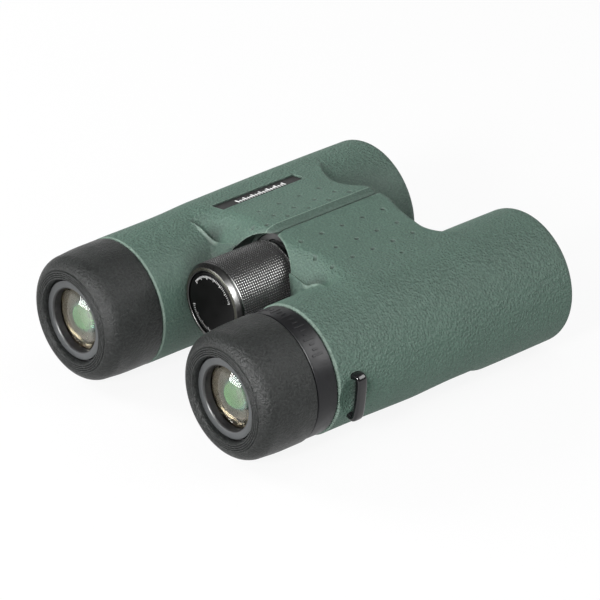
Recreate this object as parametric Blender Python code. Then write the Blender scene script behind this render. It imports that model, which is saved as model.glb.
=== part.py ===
"""Roof-prism binoculars, hinge fully open, resting on the two barrels.

Sizes are millimetres in the model's own axes: x across the barrels (+x is the right eye's
side), y from the eyecups' rims towards the objectives, z up from the plane of the barrels.
Each object's local origin lies on the axis that it turns about or slides along.
"""

import math

import bmesh
import bpy
from mathutils import Vector

MM = 0.001

# Driving dimensions.
LENGTH = 137.0
AXIS_SPACING = 80.0
BARREL_RADIUS = 24.1
HINGE_HEIGHT = 10.2
CLEARANCE = 0.3
RUNNING_CLEARANCE = 0.1

BARREL_X = AXIS_SPACING / 2
SIDES = {"left": -1.0, "right": 1.0}
ROUND_STEPS = 48
RING_STEPS = 32
INNER_STEPS = 20

# Stations along the barrel, measured from the eyecup's rim.
EYECUP_LENGTH = 22.1
BODY_START = {"left": EYECUP_LENGTH + CLEARANCE, "right": 31.2}
BRIDGE_RISE = {"shoulder": (51.0, 59.5), "arch": (47.5, 58.0)}
BRIDGE_FADE = 35.0
BRIDGE_FRONT = 105.0
KNOB_REAR = 29.3
KNOB_FRONT = 57.0
CUT_START = 10.0
CUT_END = LENGTH + 5.0

# Radii about a barrel's axis.
CHASSIS_INNER = 18.6
CHASSIS_OUTER = 20.2
ARMOUR_BORE = CHASSIS_OUTER + CLEARANCE
CELL_OUTER = CHASSIS_INNER - CLEARANCE
OCULAR_BORE = 14.4
FRONT_LIP_BORE = 18.4
FRONT_LIP_START = 133.5
FRONT_FILLET = 3.7
EYECUP_RADIUS = 22.8
EYECUP_FILLET = 5.8
EYECUP_OPENING = 14.8

# Radii about the hinge's axis.
KNOB_RADIUS = 14.6
KNOB_RECESS = 16.9
CAP_RADIUS = 11.7
SHELL_OUTER = 15.4
SHELL_INNER = 13.4
DRUM_BORE = SHELL_OUTER + CLEARANCE
KNUCKLE_RADIUS = 12.9
TUBE_RADIUS = 7.0
TUBE_BORE = 4.0
SHAFT_RADIUS = 2.2

# Spans along the hinge.
SHELL_SPAN = (61.0, 103.2)
LEFT_KNUCKLES = ((62.5, 73.0), (91.5, 102.0))
RIGHT_KNUCKLES = ((73.5, 91.0),)
SHELL_ANGLES = (-50.0, 158.0)
ARM_HALF_HEIGHT = 6.0
ARM_START = 8.5
ARM_DEPTH = 18.9

# The bridge: tangents to the barrel that meet the seam above the hinge.
TOP_TANGENT = {"left": 82.6, "right": 85.0}
SEAM_SOFTNESS = 110.0
SEAM_CHAMFER = (112.6, 41.0)
UNDER_TANGENT = 215.0
SEAM_HALF_GAP = 0.2
SEAM_ANGLES = (142.2, 145.4)

BODY_PROFILE = (
    (22.0, 22.9), (46.0, 23.0), (57.0, 23.3), (75.0, 23.7),
    (95.0, 24.0), (110.0, BARREL_RADIUS), (LENGTH, 24.0),
)
FRONT_SWEEP = {
    "left": (
        (0.0, 104.4), (5.0, 103.6), (9.0, 101.9), (14.0, 100.6), (19.0, 100.9),
        (25.0, 102.8), (31.0, 106.0), (36.0, 109.0), (42.0, 112.0),
    ),
    "right": (
        (0.0, 105.4), (4.0, 105.0), (10.0, 103.2), (16.0, 101.8), (22.0, 100.8),
        (28.0, 100.4), (32.0, 101.8), (36.0, 105.0), (42.0, 111.0),
    ),
}
RING_STATIONS = (
    36.0, 43.0, 47.0, 49.0, 50.6, 51.8, 53.2, 54.6, 56.0, 57.4, 59.0, 60.5, 68.0, 76.0, 84.0, 90.0, 95.0,
)
FRONT_WALL = ((-1.6, 1.0), (-0.4, 0.985), (0.5, 0.93), (1.7, 0.5), (3.2, 0.12), (5.0, 0.0))

# Strap lug and its pocket, on the outer side of each barrel.
LUG_STATION = 38.5
LUG_WIDTH = 4.0
LUG_THICKNESS = 2.2
LUG_CHAMFER = 0.5
LUG_ANGLES = (-29.5, 9.6)
LUG_RADIUS = 25.5
LUG_FOOT = 20.9
POCKET_ANGLE = -7.0
POCKET_SIZE = (3.4, 7.6, 7.4)
POCKET_CENTRE = 24.4
POCKET_STATION = 37.8

# Name strip on the left barrel, left blank.
PLATE_SPAN = (60.4, 97.3)
PLATE_ACROSS = (6.5, 13.5)
PLATE_THICKNESS = 0.7
PLATE_FLOOR = 22.3


def material(name, colour, roughness, metallic=0.0, transmission=0.0):
    made = bpy.data.materials.new(name)
    made.use_nodes = True
    shader = made.node_tree.nodes["Principled BSDF"]
    shader.inputs["Base Color"].default_value = (*colour, 1.0)
    shader.inputs["Roughness"].default_value = roughness
    shader.inputs["Metallic"].default_value = metallic
    shader.inputs["Transmission Weight"].default_value = transmission
    return made


def remove_all_objects():
    for thing in list(bpy.data.objects):
        bpy.data.objects.remove(thing, do_unlink=True)


def axis_point(x, z):
    """World place of the point of an axis that lies level with the eyecups' rims."""
    return Vector((x, -LENGTH / 2, z + BARREL_RADIUS)) * MM


def barrel_axis(side):
    return axis_point(SIDES[side] * BARREL_X, 0.0)


def hinge_axis():
    return axis_point(0.0, HINGE_HEIGHT)


def finish(name, bm, finish_material, origin):
    """Turns a bmesh in metres about its origin into a smooth-shaded object."""
    bm.normal_update()
    bmesh.ops.recalc_face_normals(bm, faces=bm.faces)
    if bm.calc_volume(signed=True) < 0.0:
        bmesh.ops.reverse_faces(bm, faces=bm.faces)
    mesh = bpy.data.meshes.new(name)
    bm.to_mesh(mesh)
    bm.free()
    mesh.shade_smooth()
    mesh.set_sharp_from_angle(angle=math.radians(35))
    thing = bpy.data.objects.new(name, mesh)
    thing.location = origin
    if finish_material is not None:
        mesh.materials.append(finish_material)
    bpy.context.scene.collection.objects.link(thing)
    return thing


def helper(thing):
    """Marks an object as one that only shapes another."""
    thing.hide_render = True
    thing.display_type = "WIRE"
    return thing


def combine(thing, other, operation):
    modifier = thing.modifiers.new(f"{operation.lower()} {other.name}", "BOOLEAN")
    modifier.operation = operation
    modifier.object = helper(other)
    modifier.solver = "EXACT"


def turned(name, profile, finish_material, origin, steps=INNER_STEPS):
    """A profile of (radius, y) points turned about the y axis."""
    bm = bmesh.new()
    points = [bm.verts.new((radius * MM, y * MM, 0.0)) for radius, y in profile]
    on_axis = profile[0][0] == 0.0 and profile[-1][0] == 0.0
    ends = zip(points, points[1:] if on_axis else points[1:] + points[:1])
    edges = [bm.edges.new(pair) for pair in ends]
    bmesh.ops.spin(
        bm, geom=points + edges, cent=(0, 0, 0), axis=(0, 1, 0),
        angle=math.tau, steps=steps, use_merge=True,
    )
    bmesh.ops.remove_doubles(bm, verts=bm.verts, dist=1e-7)
    return finish(name, bm, finish_material, origin)


def tube(inner, outer, start, end):
    """The profile of a plain ring."""
    return [(inner, start), (outer, start), (outer, end), (inner, end)]


def rounded(centre_radius, centre_y, radius, first, last, count):
    """Points of an arc in a profile; 0 degrees points away from the axis, 90 along +y."""
    angles = [math.radians(first + (last - first) * i / count) for i in range(count + 1)]
    return [
        (centre_radius + radius * math.cos(a), centre_y + radius * math.sin(a)) for a in angles
    ]


def lofted(name, rings, finish_material, origin):
    """Joins rings of the same number of points, in millimetres, and closes both ends."""
    bm = bmesh.new()
    rows = [[bm.verts.new(Vector(point) * MM) for point in ring] for ring in rings]
    count = len(rows[0])
    for lower, upper in zip(rows, rows[1:]):
        for i in range(count):
            j = (i + 1) % count
            bm.faces.new((lower[i], lower[j], upper[j], upper[i]))
    bm.faces.new(rows[0])
    bm.faces.new(rows[-1])
    return finish(name, bm, finish_material, origin)


def block(name, centre_direction, along, across, y_span, finish_material, origin):
    """A box in the plane of the barrels' sections: along a direction, and across it."""
    angle = math.radians(centre_direction)
    forward = Vector((math.cos(angle), 0.0, math.sin(angle)))
    sideways = Vector((-math.sin(angle), 0.0, math.cos(angle)))
    corners = [(along[0], across[0]), (along[1], across[0]), (along[1], across[1]), (along[0], across[1])]
    rings = [
        [forward * a + sideways * c + Vector((0.0, y, 0.0)) for a, c in corners] for y in y_span
    ]
    return lofted(name, rings, finish_material, origin)


def interpolate(table, position):
    for (x0, y0), (x1, y1) in zip(table, table[1:]):
        if position <= x1:
            share = max(0.0, (position - x0) / (x1 - x0))
            return y0 + (y1 - y0) * share
    return table[-1][1]


def smooth_step(start, end, position):
    share = min(1.0, max(0.0, (position - start) / (end - start)))
    return share * share * (3.0 - 2.0 * share)


def tangent_distance(radius, angle, tangent):
    """Distance along a direction to the line that touches the barrel at the tangent angle."""
    cosine = math.cos(math.radians(angle - tangent))
    return radius / cosine if cosine > 0.05 else math.inf


def bridge_distance(side, radius, angle):
    """Distance from the barrel's axis to the outline of barrel and bridge.

    Angles are in degrees from the barrel's outer side, over the top, to the hinge's side.
    """
    top, under = TOP_TANGENT[side], UNDER_TANGENT
    if not top < angle < under:
        return radius
    seam = (BARREL_X - SEAM_HALF_GAP) / max(0.05, -math.cos(math.radians(angle)))
    lines = [tangent_distance(radius, angle, top), tangent_distance(radius, angle, under), seam]
    if side == "left":
        normal, height = SEAM_CHAMFER
        lines.append(tangent_distance(height + radius - BARREL_RADIUS, angle, normal))
    return sum(line ** -SEAM_SOFTNESS for line in lines) ** (-1.0 / SEAM_SOFTNESS)


def front_edge(side, angle):
    """Where the bridge ends along the barrel, in the direction of angle."""
    top, under = TOP_TANGENT[side], UNDER_TANGENT
    if top <= angle <= under:
        distance = bridge_distance(side, BARREL_RADIUS, angle)
        return interpolate(FRONT_SWEEP[side], BARREL_X + distance * math.cos(math.radians(angle)))
    share = (angle - under) / (360.0 + top - under)
    return front_edge(side, under) * (1 - share) + front_edge(side, top) * share


def thumb_scoop(angle, y):
    """Depth of the shallow rest for a thumb under each barrel."""
    around = 1.0 - smooth_step(0.0, 45.0, abs((angle + 75.0 + 180.0) % 360.0 - 180.0))
    along = smooth_step(68.0, 90.0, y) * (1.0 - smooth_step(97.0, 103.0, y))
    return 1.6 * around * along


def knob_hollow(angle, y):
    """Depth of the hollow beside the knob, behind the bridge's shoulder."""
    around = smooth_step(98.0, 115.0, angle) * (1.0 - smooth_step(140.0, 156.0, angle))
    along = smooth_step(50.4, 51.8, y) * (1.0 - smooth_step(52.5, 59.0, y))
    return 1.8 * around * along


def bridge_height(angle, y):
    """How far an outline has risen from the barrel's, 0, to the whole bridge's, 1."""
    share = smooth_step(125.0, 143.0, angle)
    shoulder, arch = BRIDGE_RISE["shoulder"], BRIDGE_RISE["arch"]
    start = shoulder[0] * (1.0 - share) + arch[0] * share
    end = shoulder[1] * (1.0 - share) + arch[1] * share
    return smooth_step(start, end, y)


def bridge_share(side, angle):
    """The part of the bridge's rise at an angle: 1 on the bridge, and 0 on the barrel's outer side."""
    top, under = TOP_TANGENT[side], UNDER_TANGENT
    over = smooth_step(top - BRIDGE_FADE, top, angle % 360.0)
    return over * (1.0 - smooth_step(under, under + BRIDGE_FADE, angle % 360.0))


def armour_angles(side):
    """Directions of the armour's points, closer together over the bridge."""
    top, under = TOP_TANGENT[side], UNDER_TANGENT
    plate = [top + (SEAM_ANGLES[0] - top) * i / 9 for i in range(9)]
    seam = [*SEAM_ANGLES, 149.0, 154.0, 158.0, 162.0]
    below = [170.0 + (under - 170.0) * i / 4 for i in range(5)]
    outside = [225.0 + (360.0 + top - 225.0) * i / 21 for i in range(21)]
    outside = [270.0 if abs(angle - 270.0) < 5.0 else angle for angle in outside]
    return plate + seam + below + outside


def armour_ring(side, follow, y, inset, share):
    """One ring: follow is 1 where the ring keeps to the bridge's front edge, else 0."""
    ring = []
    for angle in armour_angles(side):
        place = y + follow * (front_edge(side, angle) - BRIDGE_FRONT)
        radius = interpolate(BODY_PROFILE, place)
        rise = share * bridge_share(side, angle) * bridge_height(angle, place)
        distance = radius + rise * (bridge_distance(side, BARREL_RADIUS, angle) - radius)
        distance -= inset + thumb_scoop(angle, place) + knob_hollow(angle, place)
        turn = math.radians(angle)
        ring.append((SIDES[side] * distance * math.cos(turn), place, distance * math.sin(turn)))
    return ring


def armour_rings(side):
    start = BODY_START[side]
    rings = [armour_ring(side, 0, start, 0.5, 0.0), armour_ring(side, 0, start + 0.5, 0.0, 0.0)]
    for y in RING_STATIONS:
        rings.append(armour_ring(side, 0, y, 0.0, 1.0))
    for offset, share in FRONT_WALL:
        rings.append(armour_ring(side, 1, BRIDGE_FRONT + offset, 0.0, share))
    for angle in (0.0, 22.5, 45.0, 67.5, 90.0):
        turn = math.radians(angle)
        inset = FRONT_FILLET * (1.0 - math.cos(turn))
        place = LENGTH - FRONT_FILLET * (1.0 - math.sin(turn))
        rings.append(armour_ring(side, 0, place, inset, 0.0))
    return rings


def arm_direction(side):
    """Direction from the hinge's axis to the barrel's, in degrees."""
    return math.degrees(math.atan2(-HINGE_HEIGHT, SIDES[side] * BARREL_X))


def hinge_to_barrel():
    return math.hypot(BARREL_X, HINGE_HEIGHT)


def chamfered_section(half_width, half_thickness):
    """The eight corners of a bar's section, as (width, thickness) points."""
    wide, thick = half_width - LUG_CHAMFER, half_thickness - LUG_CHAMFER
    return [
        (-half_width, -thick), (-wide, -half_thickness), (wide, -half_thickness), (half_width, -thick),
        (half_width, thick), (wide, half_thickness), (-wide, half_thickness), (-half_width, thick),
    ]


def swept_bar(name, path, half_width, half_thickness, finish_material, origin):
    """A bar with chamfered corners along a path of (x, z) points, at the lug's station."""
    rings = []
    for i, point in enumerate(path):
        before, after = path[max(0, i - 1)], path[min(len(path) - 1, i + 1)]
        tangent = Vector((after[0] - before[0], 0.0, after[1] - before[1])).normalized()
        outward = Vector((tangent.z, 0.0, -tangent.x))
        centre = Vector((point[0], LUG_STATION, point[1]))
        rings.append([
            centre + Vector((0.0, across, 0.0)) + outward * out
            for across, out in chamfered_section(half_width, half_thickness)
        ])
    return lofted(name, rings, finish_material, origin)


def lug_path(side, foot):
    """The strap lug's centre line: up from the barrel, round beside it and back down."""
    low, high = LUG_ANGLES
    route = [(low, foot), (low + 0.6, 22.7), (low + 2.4, 24.2), (low + 5.4, 25.2)]
    route += [(low + 5.4 + (high - low - 10.8) * i / 4, LUG_RADIUS) for i in range(1, 4)]
    route += [(high - 5.4, 25.2), (high - 2.4, 24.2), (high - 0.6, 22.7), (high, foot)]
    return [
        (SIDES[side] * radius * math.cos(math.radians(a)), radius * math.sin(math.radians(a)))
        for a, radius in route
    ]


def lug_pocket(side):
    bm = bmesh.new()
    bmesh.ops.create_uvsphere(bm, u_segments=14, v_segments=8, radius=1.0)
    for vertex in bm.verts:
        vertex.co = Vector(size * part for size, part in zip(POCKET_SIZE, vertex.co)) * MM
    turn = math.radians(POCKET_ANGLE)
    for vertex in bm.verts:
        x, y, z = vertex.co
        across = (POCKET_CENTRE * MM + x) * math.cos(turn) - z * math.sin(turn)
        upward = (POCKET_CENTRE * MM + x) * math.sin(turn) + z * math.cos(turn)
        vertex.co = (SIDES[side] * across, y + POCKET_STATION * MM, upward)
    return finish(f"{side}_pocket_cutter", bm, None, barrel_axis(side))


def hinge_cutter(side):
    """Room in an armour half for the hinge's shell, and a wider mouth round the knob."""
    mouth = SHELL_SPAN[0] - 3.0 * CLEARANCE
    profile = [
        (0.0, CUT_START), (KNOB_RECESS, CUT_START), (KNOB_RECESS, mouth),
        (DRUM_BORE, mouth + RUNNING_CLEARANCE), (DRUM_BORE, CUT_END), (0.0, CUT_END),
    ]
    return turned(f"{side}_hinge_cutter", profile, None, hinge_axis(), ROUND_STEPS)


def bore_cutter(side):
    profile = [
        (0.0, CUT_START), (ARMOUR_BORE, CUT_START), (ARMOUR_BORE, FRONT_LIP_START),
        (FRONT_LIP_BORE, FRONT_LIP_START), (FRONT_LIP_BORE, CUT_END), (0.0, CUT_END),
    ]
    return turned(f"{side}_bore_cutter", profile, None, barrel_axis(side), ROUND_STEPS)


def arm_block(name, side, y_span, grow, finish_material):
    """The arm between barrel tube and knuckle, grown all round for a cutter."""
    reach = (ARM_START, hinge_to_barrel() - ARM_DEPTH + grow)
    across = (-ARM_HALF_HEIGHT - grow, ARM_HALF_HEIGHT + grow)
    span = (y_span[0] - grow, y_span[1] + grow)
    return block(name, arm_direction(side), reach, across, span, finish_material, hinge_axis())


def make_armour(side, rubber):
    armour = lofted(f"{side}_armour", armour_rings(side), rubber, barrel_axis(side))
    combine(armour, bore_cutter(side), "DIFFERENCE")
    combine(armour, hinge_cutter(side), "DIFFERENCE")
    for i, span in enumerate(knuckle_spans(side)):
        combine(armour, arm_block(f"{side}_arm_slot_{i}", side, span, CLEARANCE, None), "DIFFERENCE")
    combine(armour, lug_pocket(side), "DIFFERENCE")
    hole = swept_bar(
        f"{side}_lug_hole", lug_path(side, LUG_FOOT - 2.0),
        LUG_WIDTH / 2 + CLEARANCE, LUG_THICKNESS / 2 + CLEARANCE, None, barrel_axis(side),
    )
    combine(armour, hole, "DIFFERENCE")
    return armour


def make_lug(side, gloss):
    return swept_bar(
        f"{side}_strap_lug", lug_path(side, LUG_FOOT),
        LUG_WIDTH / 2, LUG_THICKNESS / 2, gloss, barrel_axis(side),
    )


def knuckle_spans(side):
    return LEFT_KNUCKLES if side == "left" else RIGHT_KNUCKLES


def shell_sector(name, finish_material):
    """The right half's cover round the hinge, open below and on the left."""
    count = 22
    first, last = SHELL_ANGLES
    angles = [math.radians(first + (last - first) * i / count) for i in range(count + 1)]
    outline = [(SHELL_OUTER * math.cos(a), SHELL_OUTER * math.sin(a)) for a in angles]
    outline += [(SHELL_INNER * math.cos(a), SHELL_INNER * math.sin(a)) for a in reversed(angles)]
    rings = [[(x, y, z) for x, z in outline] for y in SHELL_SPAN]
    return lofted(name, rings, finish_material, hinge_axis())


def make_chassis(side, metal):
    start = BODY_START[side] + 0.6
    profile = tube(CHASSIS_INNER, CHASSIS_OUTER, start, FRONT_LIP_START - CLEARANCE)
    chassis = turned(f"{side}_chassis", profile, metal, barrel_axis(side), RING_STEPS)
    for i, span in enumerate(knuckle_spans(side)):
        combine(chassis, arm_block(f"{side}_arm_{i}", side, span, 0.0, None), "UNION")
        ring = tube(TUBE_RADIUS + RUNNING_CLEARANCE, KNUCKLE_RADIUS, *span)
        combine(chassis, turned(f"{side}_knuckle_{i}", ring, None, hinge_axis(), RING_STEPS), "UNION")
    if side == "right":
        combine(chassis, shell_sector("right_shell", None), "UNION")
    return chassis


def make_name_plate(armour, dark):
    """A blank strip let into the top of the left barrel, and the recess that it lies in."""
    direction = 180.0 - TOP_TANGENT["left"]
    outer, inner = PLATE_ACROSS
    recess = block(
        "plate_recess", direction, (PLATE_FLOOR, PLATE_FLOOR + 6.0), (-inner, -outer),
        PLATE_SPAN, None, barrel_axis("left"),
    )
    combine(armour, recess, "DIFFERENCE")
    span = (PLATE_SPAN[0] + CLEARANCE, PLATE_SPAN[1] - CLEARANCE)
    thickness = (PLATE_FLOOR + CLEARANCE, PLATE_FLOOR + CLEARANCE + PLATE_THICKNESS)
    across = (-inner + CLEARANCE, -outer - CLEARANCE)
    block("name_plate", direction, thickness, across, span, dark, barrel_axis("left"))


def make_ocular(side, dark, satin, glass):
    """Everything in the eyepiece that stays with the barrel."""
    axis = barrel_axis(side)
    step = BODY_START["left"]
    profile = [
        (OCULAR_BORE, 3.4), (17.0, 3.4), (17.0, step), (CELL_OUTER, step),
        (CELL_OUTER, 37.0), (OCULAR_BORE, 37.0),
    ]
    turned(f"{side}_ocular_tube", profile, dark, axis, RING_STEPS)
    ring = [(11.6, 1.8), (14.1, 1.8), (14.1, 4.9), (11.2, 4.9), (11.2, 2.2)]
    turned(f"{side}_ocular_ring", ring, satin, axis, RING_STEPS)
    lens = [(0.0, 2.0), (6.0, 2.8), (10.8, 5.2), (13.8, 5.4), (13.8, 11.0), (0.0, 11.8)]
    turned(f"{side}_eye_lens", lens, glass, axis)


def make_field_lens(side, metal, glass):
    axis = barrel_axis(side)
    cell = [(12.9, 12.0), (14.1, 12.0), (14.1, 21.0), (7.2, 21.0), (7.2, 16.8)]
    turned(f"{side}_field_cell", cell, metal, axis)
    lens = [(0.0, 16.2), (3.6, 16.4), (6.9, 17.2), (6.9, 19.6), (0.0, 20.4)]
    turned(f"{side}_field_lens", lens, glass, axis)


def make_prisms(side, metal, glass):
    axis = barrel_axis(side)
    half_width = 9.0
    slope = ((49.0, 9.0), (57.0, -9.0))
    outline = [(40.5, -9.0), (40.5, 9.0), *slope]
    rings = [[(x, y, z) for y, z in outline] for x in (-half_width, half_width)]
    lofted(f"{side}_half_prism", rings, glass, axis)
    ridge = [(-9.0, -9.0), (9.0, -9.0), (9.0, 3.0), (0.0, 12.0), (-9.0, 3.0)]
    lean = (slope[0][0] - slope[1][0]) / (slope[0][1] - slope[1][1])
    rear = [(x, slope[1][0] + 1.2 + lean * (z + 9.0), z) for x, z in ridge]
    front = [(x, 71.0 + 0.2 * z, z) for x, z in ridge]
    lofted(f"{side}_roof_prism", [rear, front], glass, axis)
    cage = turned(f"{side}_prism_cage", tube(8.5, CELL_OUTER, 37.4, 39.4), metal, axis)
    for i, (across, upward) in enumerate(((1, 1), (-1, 1), (-1, -1), (1, -1))):
        along = tuple(sorted((across * 10.2, across * 12.6)))
        height = tuple(sorted((upward * 10.2, upward * 12.6)))
        post = block(f"{side}_post_{i}", 0.0, along, height, (38.4, 74.0), None, axis)
        combine(cage, post, "UNION")


def make_focus_cell(side, metal, glass):
    axis = barrel_axis(side)
    turned(f"{side}_focus_cell", tube(12.3, 18.2, 88.0, 95.0), metal, axis)
    lens = [(0.0, 91.2), (12.0, 89.6), (12.0, 93.6), (0.0, 92.6)]
    turned(f"{side}_focus_lens", lens, glass, axis)


def make_objective(side, dark, glass):
    axis = barrel_axis(side)
    turned(f"{side}_objective_cell", tube(16.9, CELL_OUTER, 114.0, 131.0), dark, axis)
    inner = [(0.0, 119.6), (16.6, 119.0), (16.6, 122.6), (0.0, 124.2)]
    turned(f"{side}_objective_inner_lens", inner, glass, axis)
    outer = [(0.0, 125.0), (16.6, 123.6), (16.6, 127.2), (9.0, 129.2), (0.0, 130.0)]
    turned(f"{side}_objective_lens", outer, glass, axis, RING_STEPS)
    ring = [(16.2, 131.3), (CELL_OUTER, 131.3), (CELL_OUTER, 133.0), (16.6, 133.0)]
    turned(f"{side}_objective_ring", ring, dark, axis, RING_STEPS)


def make_eyecup(side, rubber, dark):
    """The turning sleeve, the sliding cup on it and the cup's rubber."""
    axis = barrel_axis(side)
    turned(f"{side}_click_sleeve", tube(17.3, 18.6, 6.0, 21.0), dark, axis, RING_STEPS)
    turned(f"{side}_eyecup_core", tube(18.9, 20.3, 3.0, 21.6), dark, axis, RING_STEPS)
    edge = EYECUP_RADIUS - 0.5
    profile = rounded(edge - EYECUP_FILLET, EYECUP_FILLET, EYECUP_FILLET, -90.0, 0.0, 5)
    profile += [(EYECUP_RADIUS, 14.0), (EYECUP_RADIUS, EYECUP_LENGTH - 0.4)]
    profile += [(EYECUP_RADIUS - 0.4, EYECUP_LENGTH), (20.6, EYECUP_LENGTH), (20.6, 2.7)]
    profile += [(EYECUP_OPENING, 2.4), (EYECUP_OPENING, 0.7), (EYECUP_OPENING + 0.6, 0.2)]
    turned(f"{side}_eyecup", profile, rubber, axis, ROUND_STEPS)


def make_diopter_ring(gloss):
    profile = [
        (18.6, 22.6), (22.1, 22.6), (22.4, 22.9), (22.4, 30.6), (22.1, 30.9), (18.6, 30.9),
    ]
    turned("diopter_ring", profile, gloss, barrel_axis("right"), ROUND_STEPS)


def make_hinge(steel, dark, brass):
    axis = hinge_axis()
    turned("hinge_tube", tube(TUBE_BORE, TUBE_RADIUS, 42.0, 103.2), steel, axis, RING_STEPS)
    washer = tube(TUBE_RADIUS + CLEARANCE, KNUCKLE_RADIUS, 59.4, 60.6)
    turned("hinge_washer", washer, dark, axis, RING_STEPS)
    cap = [(0.0, 103.6), (15.0, 103.6), (15.4, 104.0), (15.4, 105.0), (15.0, 105.4)]
    cap += [(7.0, 105.4), (6.6, 106.8), (0.0, 106.8)]
    turned("hinge_front_cap", cap, dark, axis, RING_STEPS)
    turned("focus_nut", tube(SHAFT_RADIUS + RUNNING_CLEARANCE, 3.8, 74.0, 82.0), brass, axis)


def make_knob(black, satin, gloss, steel):
    axis = hinge_axis()
    profile = [
        (2.6, 32.2), (KNOB_RADIUS, 31.9), (KNOB_RADIUS, KNOB_FRONT - 0.4),
        (KNOB_RADIUS - 0.4, KNOB_FRONT), (7.4, KNOB_FRONT), (7.4, 41.0), (2.6, 41.0),
    ]
    turned("focus_knob", profile, black, axis, ROUND_STEPS)
    hole = CAP_RADIUS + CLEARANCE
    bezel = [(hole, KNOB_REAR + 0.2), (hole + 0.3, KNOB_REAR), (13.4, KNOB_REAR + 0.4)]
    bezel += [(KNOB_RADIUS, 31.0), (KNOB_RADIUS, 31.6), (hole, 31.6)]
    turned("knob_bezel", bezel, satin, axis, ROUND_STEPS)
    cap = [(0.0, KNOB_REAR + 0.4), (CAP_RADIUS, KNOB_REAR + 0.4), (CAP_RADIUS, 31.6), (0.0, 31.6)]
    turned("knob_cap", cap, gloss, axis, ROUND_STEPS)
    turned("focus_shaft", [(0.0, 31.9), (SHAFT_RADIUS, 31.9), (SHAFT_RADIUS, 98.0), (0.0, 98.0)],
           steel, axis)


def build():
    remove_all_objects()
    green = material("green_rubber", (0.10, 0.16, 0.13), 0.62)
    black_rubber = material("black_rubber", (0.03, 0.03, 0.03), 0.65)
    gloss = material("black_gloss", (0.015, 0.015, 0.015), 0.22)
    dark = material("dark_plastic", (0.03, 0.03, 0.03), 0.5)
    anodised = material("black_anodised", (0.04, 0.04, 0.04), 0.35, 0.9)
    satin = material("satin_metal", (0.20, 0.20, 0.20), 0.4, 0.9)
    metal = material("cast_magnesium", (0.35, 0.35, 0.36), 0.45, 1.0)
    steel = material("ground_steel", (0.55, 0.55, 0.56), 0.3, 1.0)
    brass = material("turned_brass", (0.6, 0.45, 0.2), 0.35, 1.0)
    glass = material("coated_glass", (0.9, 0.95, 0.92), 0.02, 0.0, 1.0)
    for side in SIDES:
        armour = make_armour(side, green)
        if side == "left":
            make_name_plate(armour, gloss)
        make_chassis(side, metal)
        make_lug(side, gloss)
        make_ocular(side, dark, satin, glass)
        make_field_lens(side, metal, glass)
        make_prisms(side, metal, glass)
        make_focus_cell(side, metal, glass)
        make_objective(side, dark, glass)
        make_eyecup(side, black_rubber, dark)
    make_diopter_ring(gloss)
    make_hinge(steel, dark, brass)
    make_knob(anodised, satin, gloss, steel)


build()
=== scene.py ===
"""Roof-prism binoculars on a pale floor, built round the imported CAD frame.

Shapes are worked out in millimetres about two kinds of axis, the barrels' and the hinge's:
y runs from the eyecups' rims towards the objectives, and z up from the axis. Directions about
a barrel are in degrees from its outer side over the top, so one rule serves both barrels. Every
mesh is then moved into the frame, so each object sits at the origin and its place is in its
vertices.
"""

import math

import bmesh
import bpy
import numpy as np
from mathutils import Matrix, Vector


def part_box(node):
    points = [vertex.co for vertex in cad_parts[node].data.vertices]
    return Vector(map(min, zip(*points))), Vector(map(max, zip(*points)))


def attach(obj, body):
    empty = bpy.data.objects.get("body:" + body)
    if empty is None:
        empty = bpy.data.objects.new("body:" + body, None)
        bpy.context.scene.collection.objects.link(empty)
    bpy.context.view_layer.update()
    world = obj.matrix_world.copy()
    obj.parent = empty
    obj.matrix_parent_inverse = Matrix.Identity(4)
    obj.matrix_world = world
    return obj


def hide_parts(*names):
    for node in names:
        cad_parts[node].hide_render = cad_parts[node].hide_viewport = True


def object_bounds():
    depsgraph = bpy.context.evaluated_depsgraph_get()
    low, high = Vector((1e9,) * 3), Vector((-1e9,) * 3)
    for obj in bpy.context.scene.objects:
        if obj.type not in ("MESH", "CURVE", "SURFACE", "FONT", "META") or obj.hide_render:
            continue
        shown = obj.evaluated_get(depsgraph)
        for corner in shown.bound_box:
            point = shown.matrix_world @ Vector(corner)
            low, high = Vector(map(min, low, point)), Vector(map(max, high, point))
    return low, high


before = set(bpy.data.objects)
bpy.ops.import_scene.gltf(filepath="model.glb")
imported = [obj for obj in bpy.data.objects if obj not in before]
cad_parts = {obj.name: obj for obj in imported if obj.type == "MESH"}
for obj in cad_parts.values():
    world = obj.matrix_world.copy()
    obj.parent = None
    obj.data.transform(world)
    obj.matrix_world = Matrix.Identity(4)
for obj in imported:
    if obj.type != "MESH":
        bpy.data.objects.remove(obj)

CAD_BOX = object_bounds()
MM = 0.001

# Places of the axes, from the frame.
REAR = CAD_BOX[0].y


def axis_of(node):
    """The axis along y through the middle of a round CAD node, at the eyecups' rims."""
    low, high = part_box(node)
    return Vector(((low.x + high.x) / 2, REAR, (low.z + high.z) / 2))


SIDES = {"left": -1.0, "right": 1.0}
BARREL = {side: axis_of(f"{side}_eyecup") for side in SIDES}
HINGE = axis_of("focus_knob")
BARREL_X = BARREL["right"].x / MM
BARREL_RADIUS = BARREL["right"].z / MM
HINGE_HEIGHT = (HINGE.z - BARREL["right"].z) / MM
LENGTH = (CAD_BOX[1].y - REAR) / MM
CLEARANCE = 0.3

# Stations along a barrel and radii about its axis.
EYECUP_LENGTH = 22.1
BODY_START = {"left": EYECUP_LENGTH + CLEARANCE, "right": 31.2}
CHASSIS_INSET = 0.6
CHASSIS_END = 133.2
CHASSIS_INNER = 18.6
CHASSIS_OUTER = 20.2
ARMOUR_BORE = CHASSIS_OUTER + CLEARANCE
BORE_CHAMFER = 0.3
REAR_ROUND = 0.8
FRONT_LIP_BORE = 18.4
FRONT_LIP_START = 133.5
FRONT_LIP_CHAMFER = 0.4
FRONT_FILLET = 3.7

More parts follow.
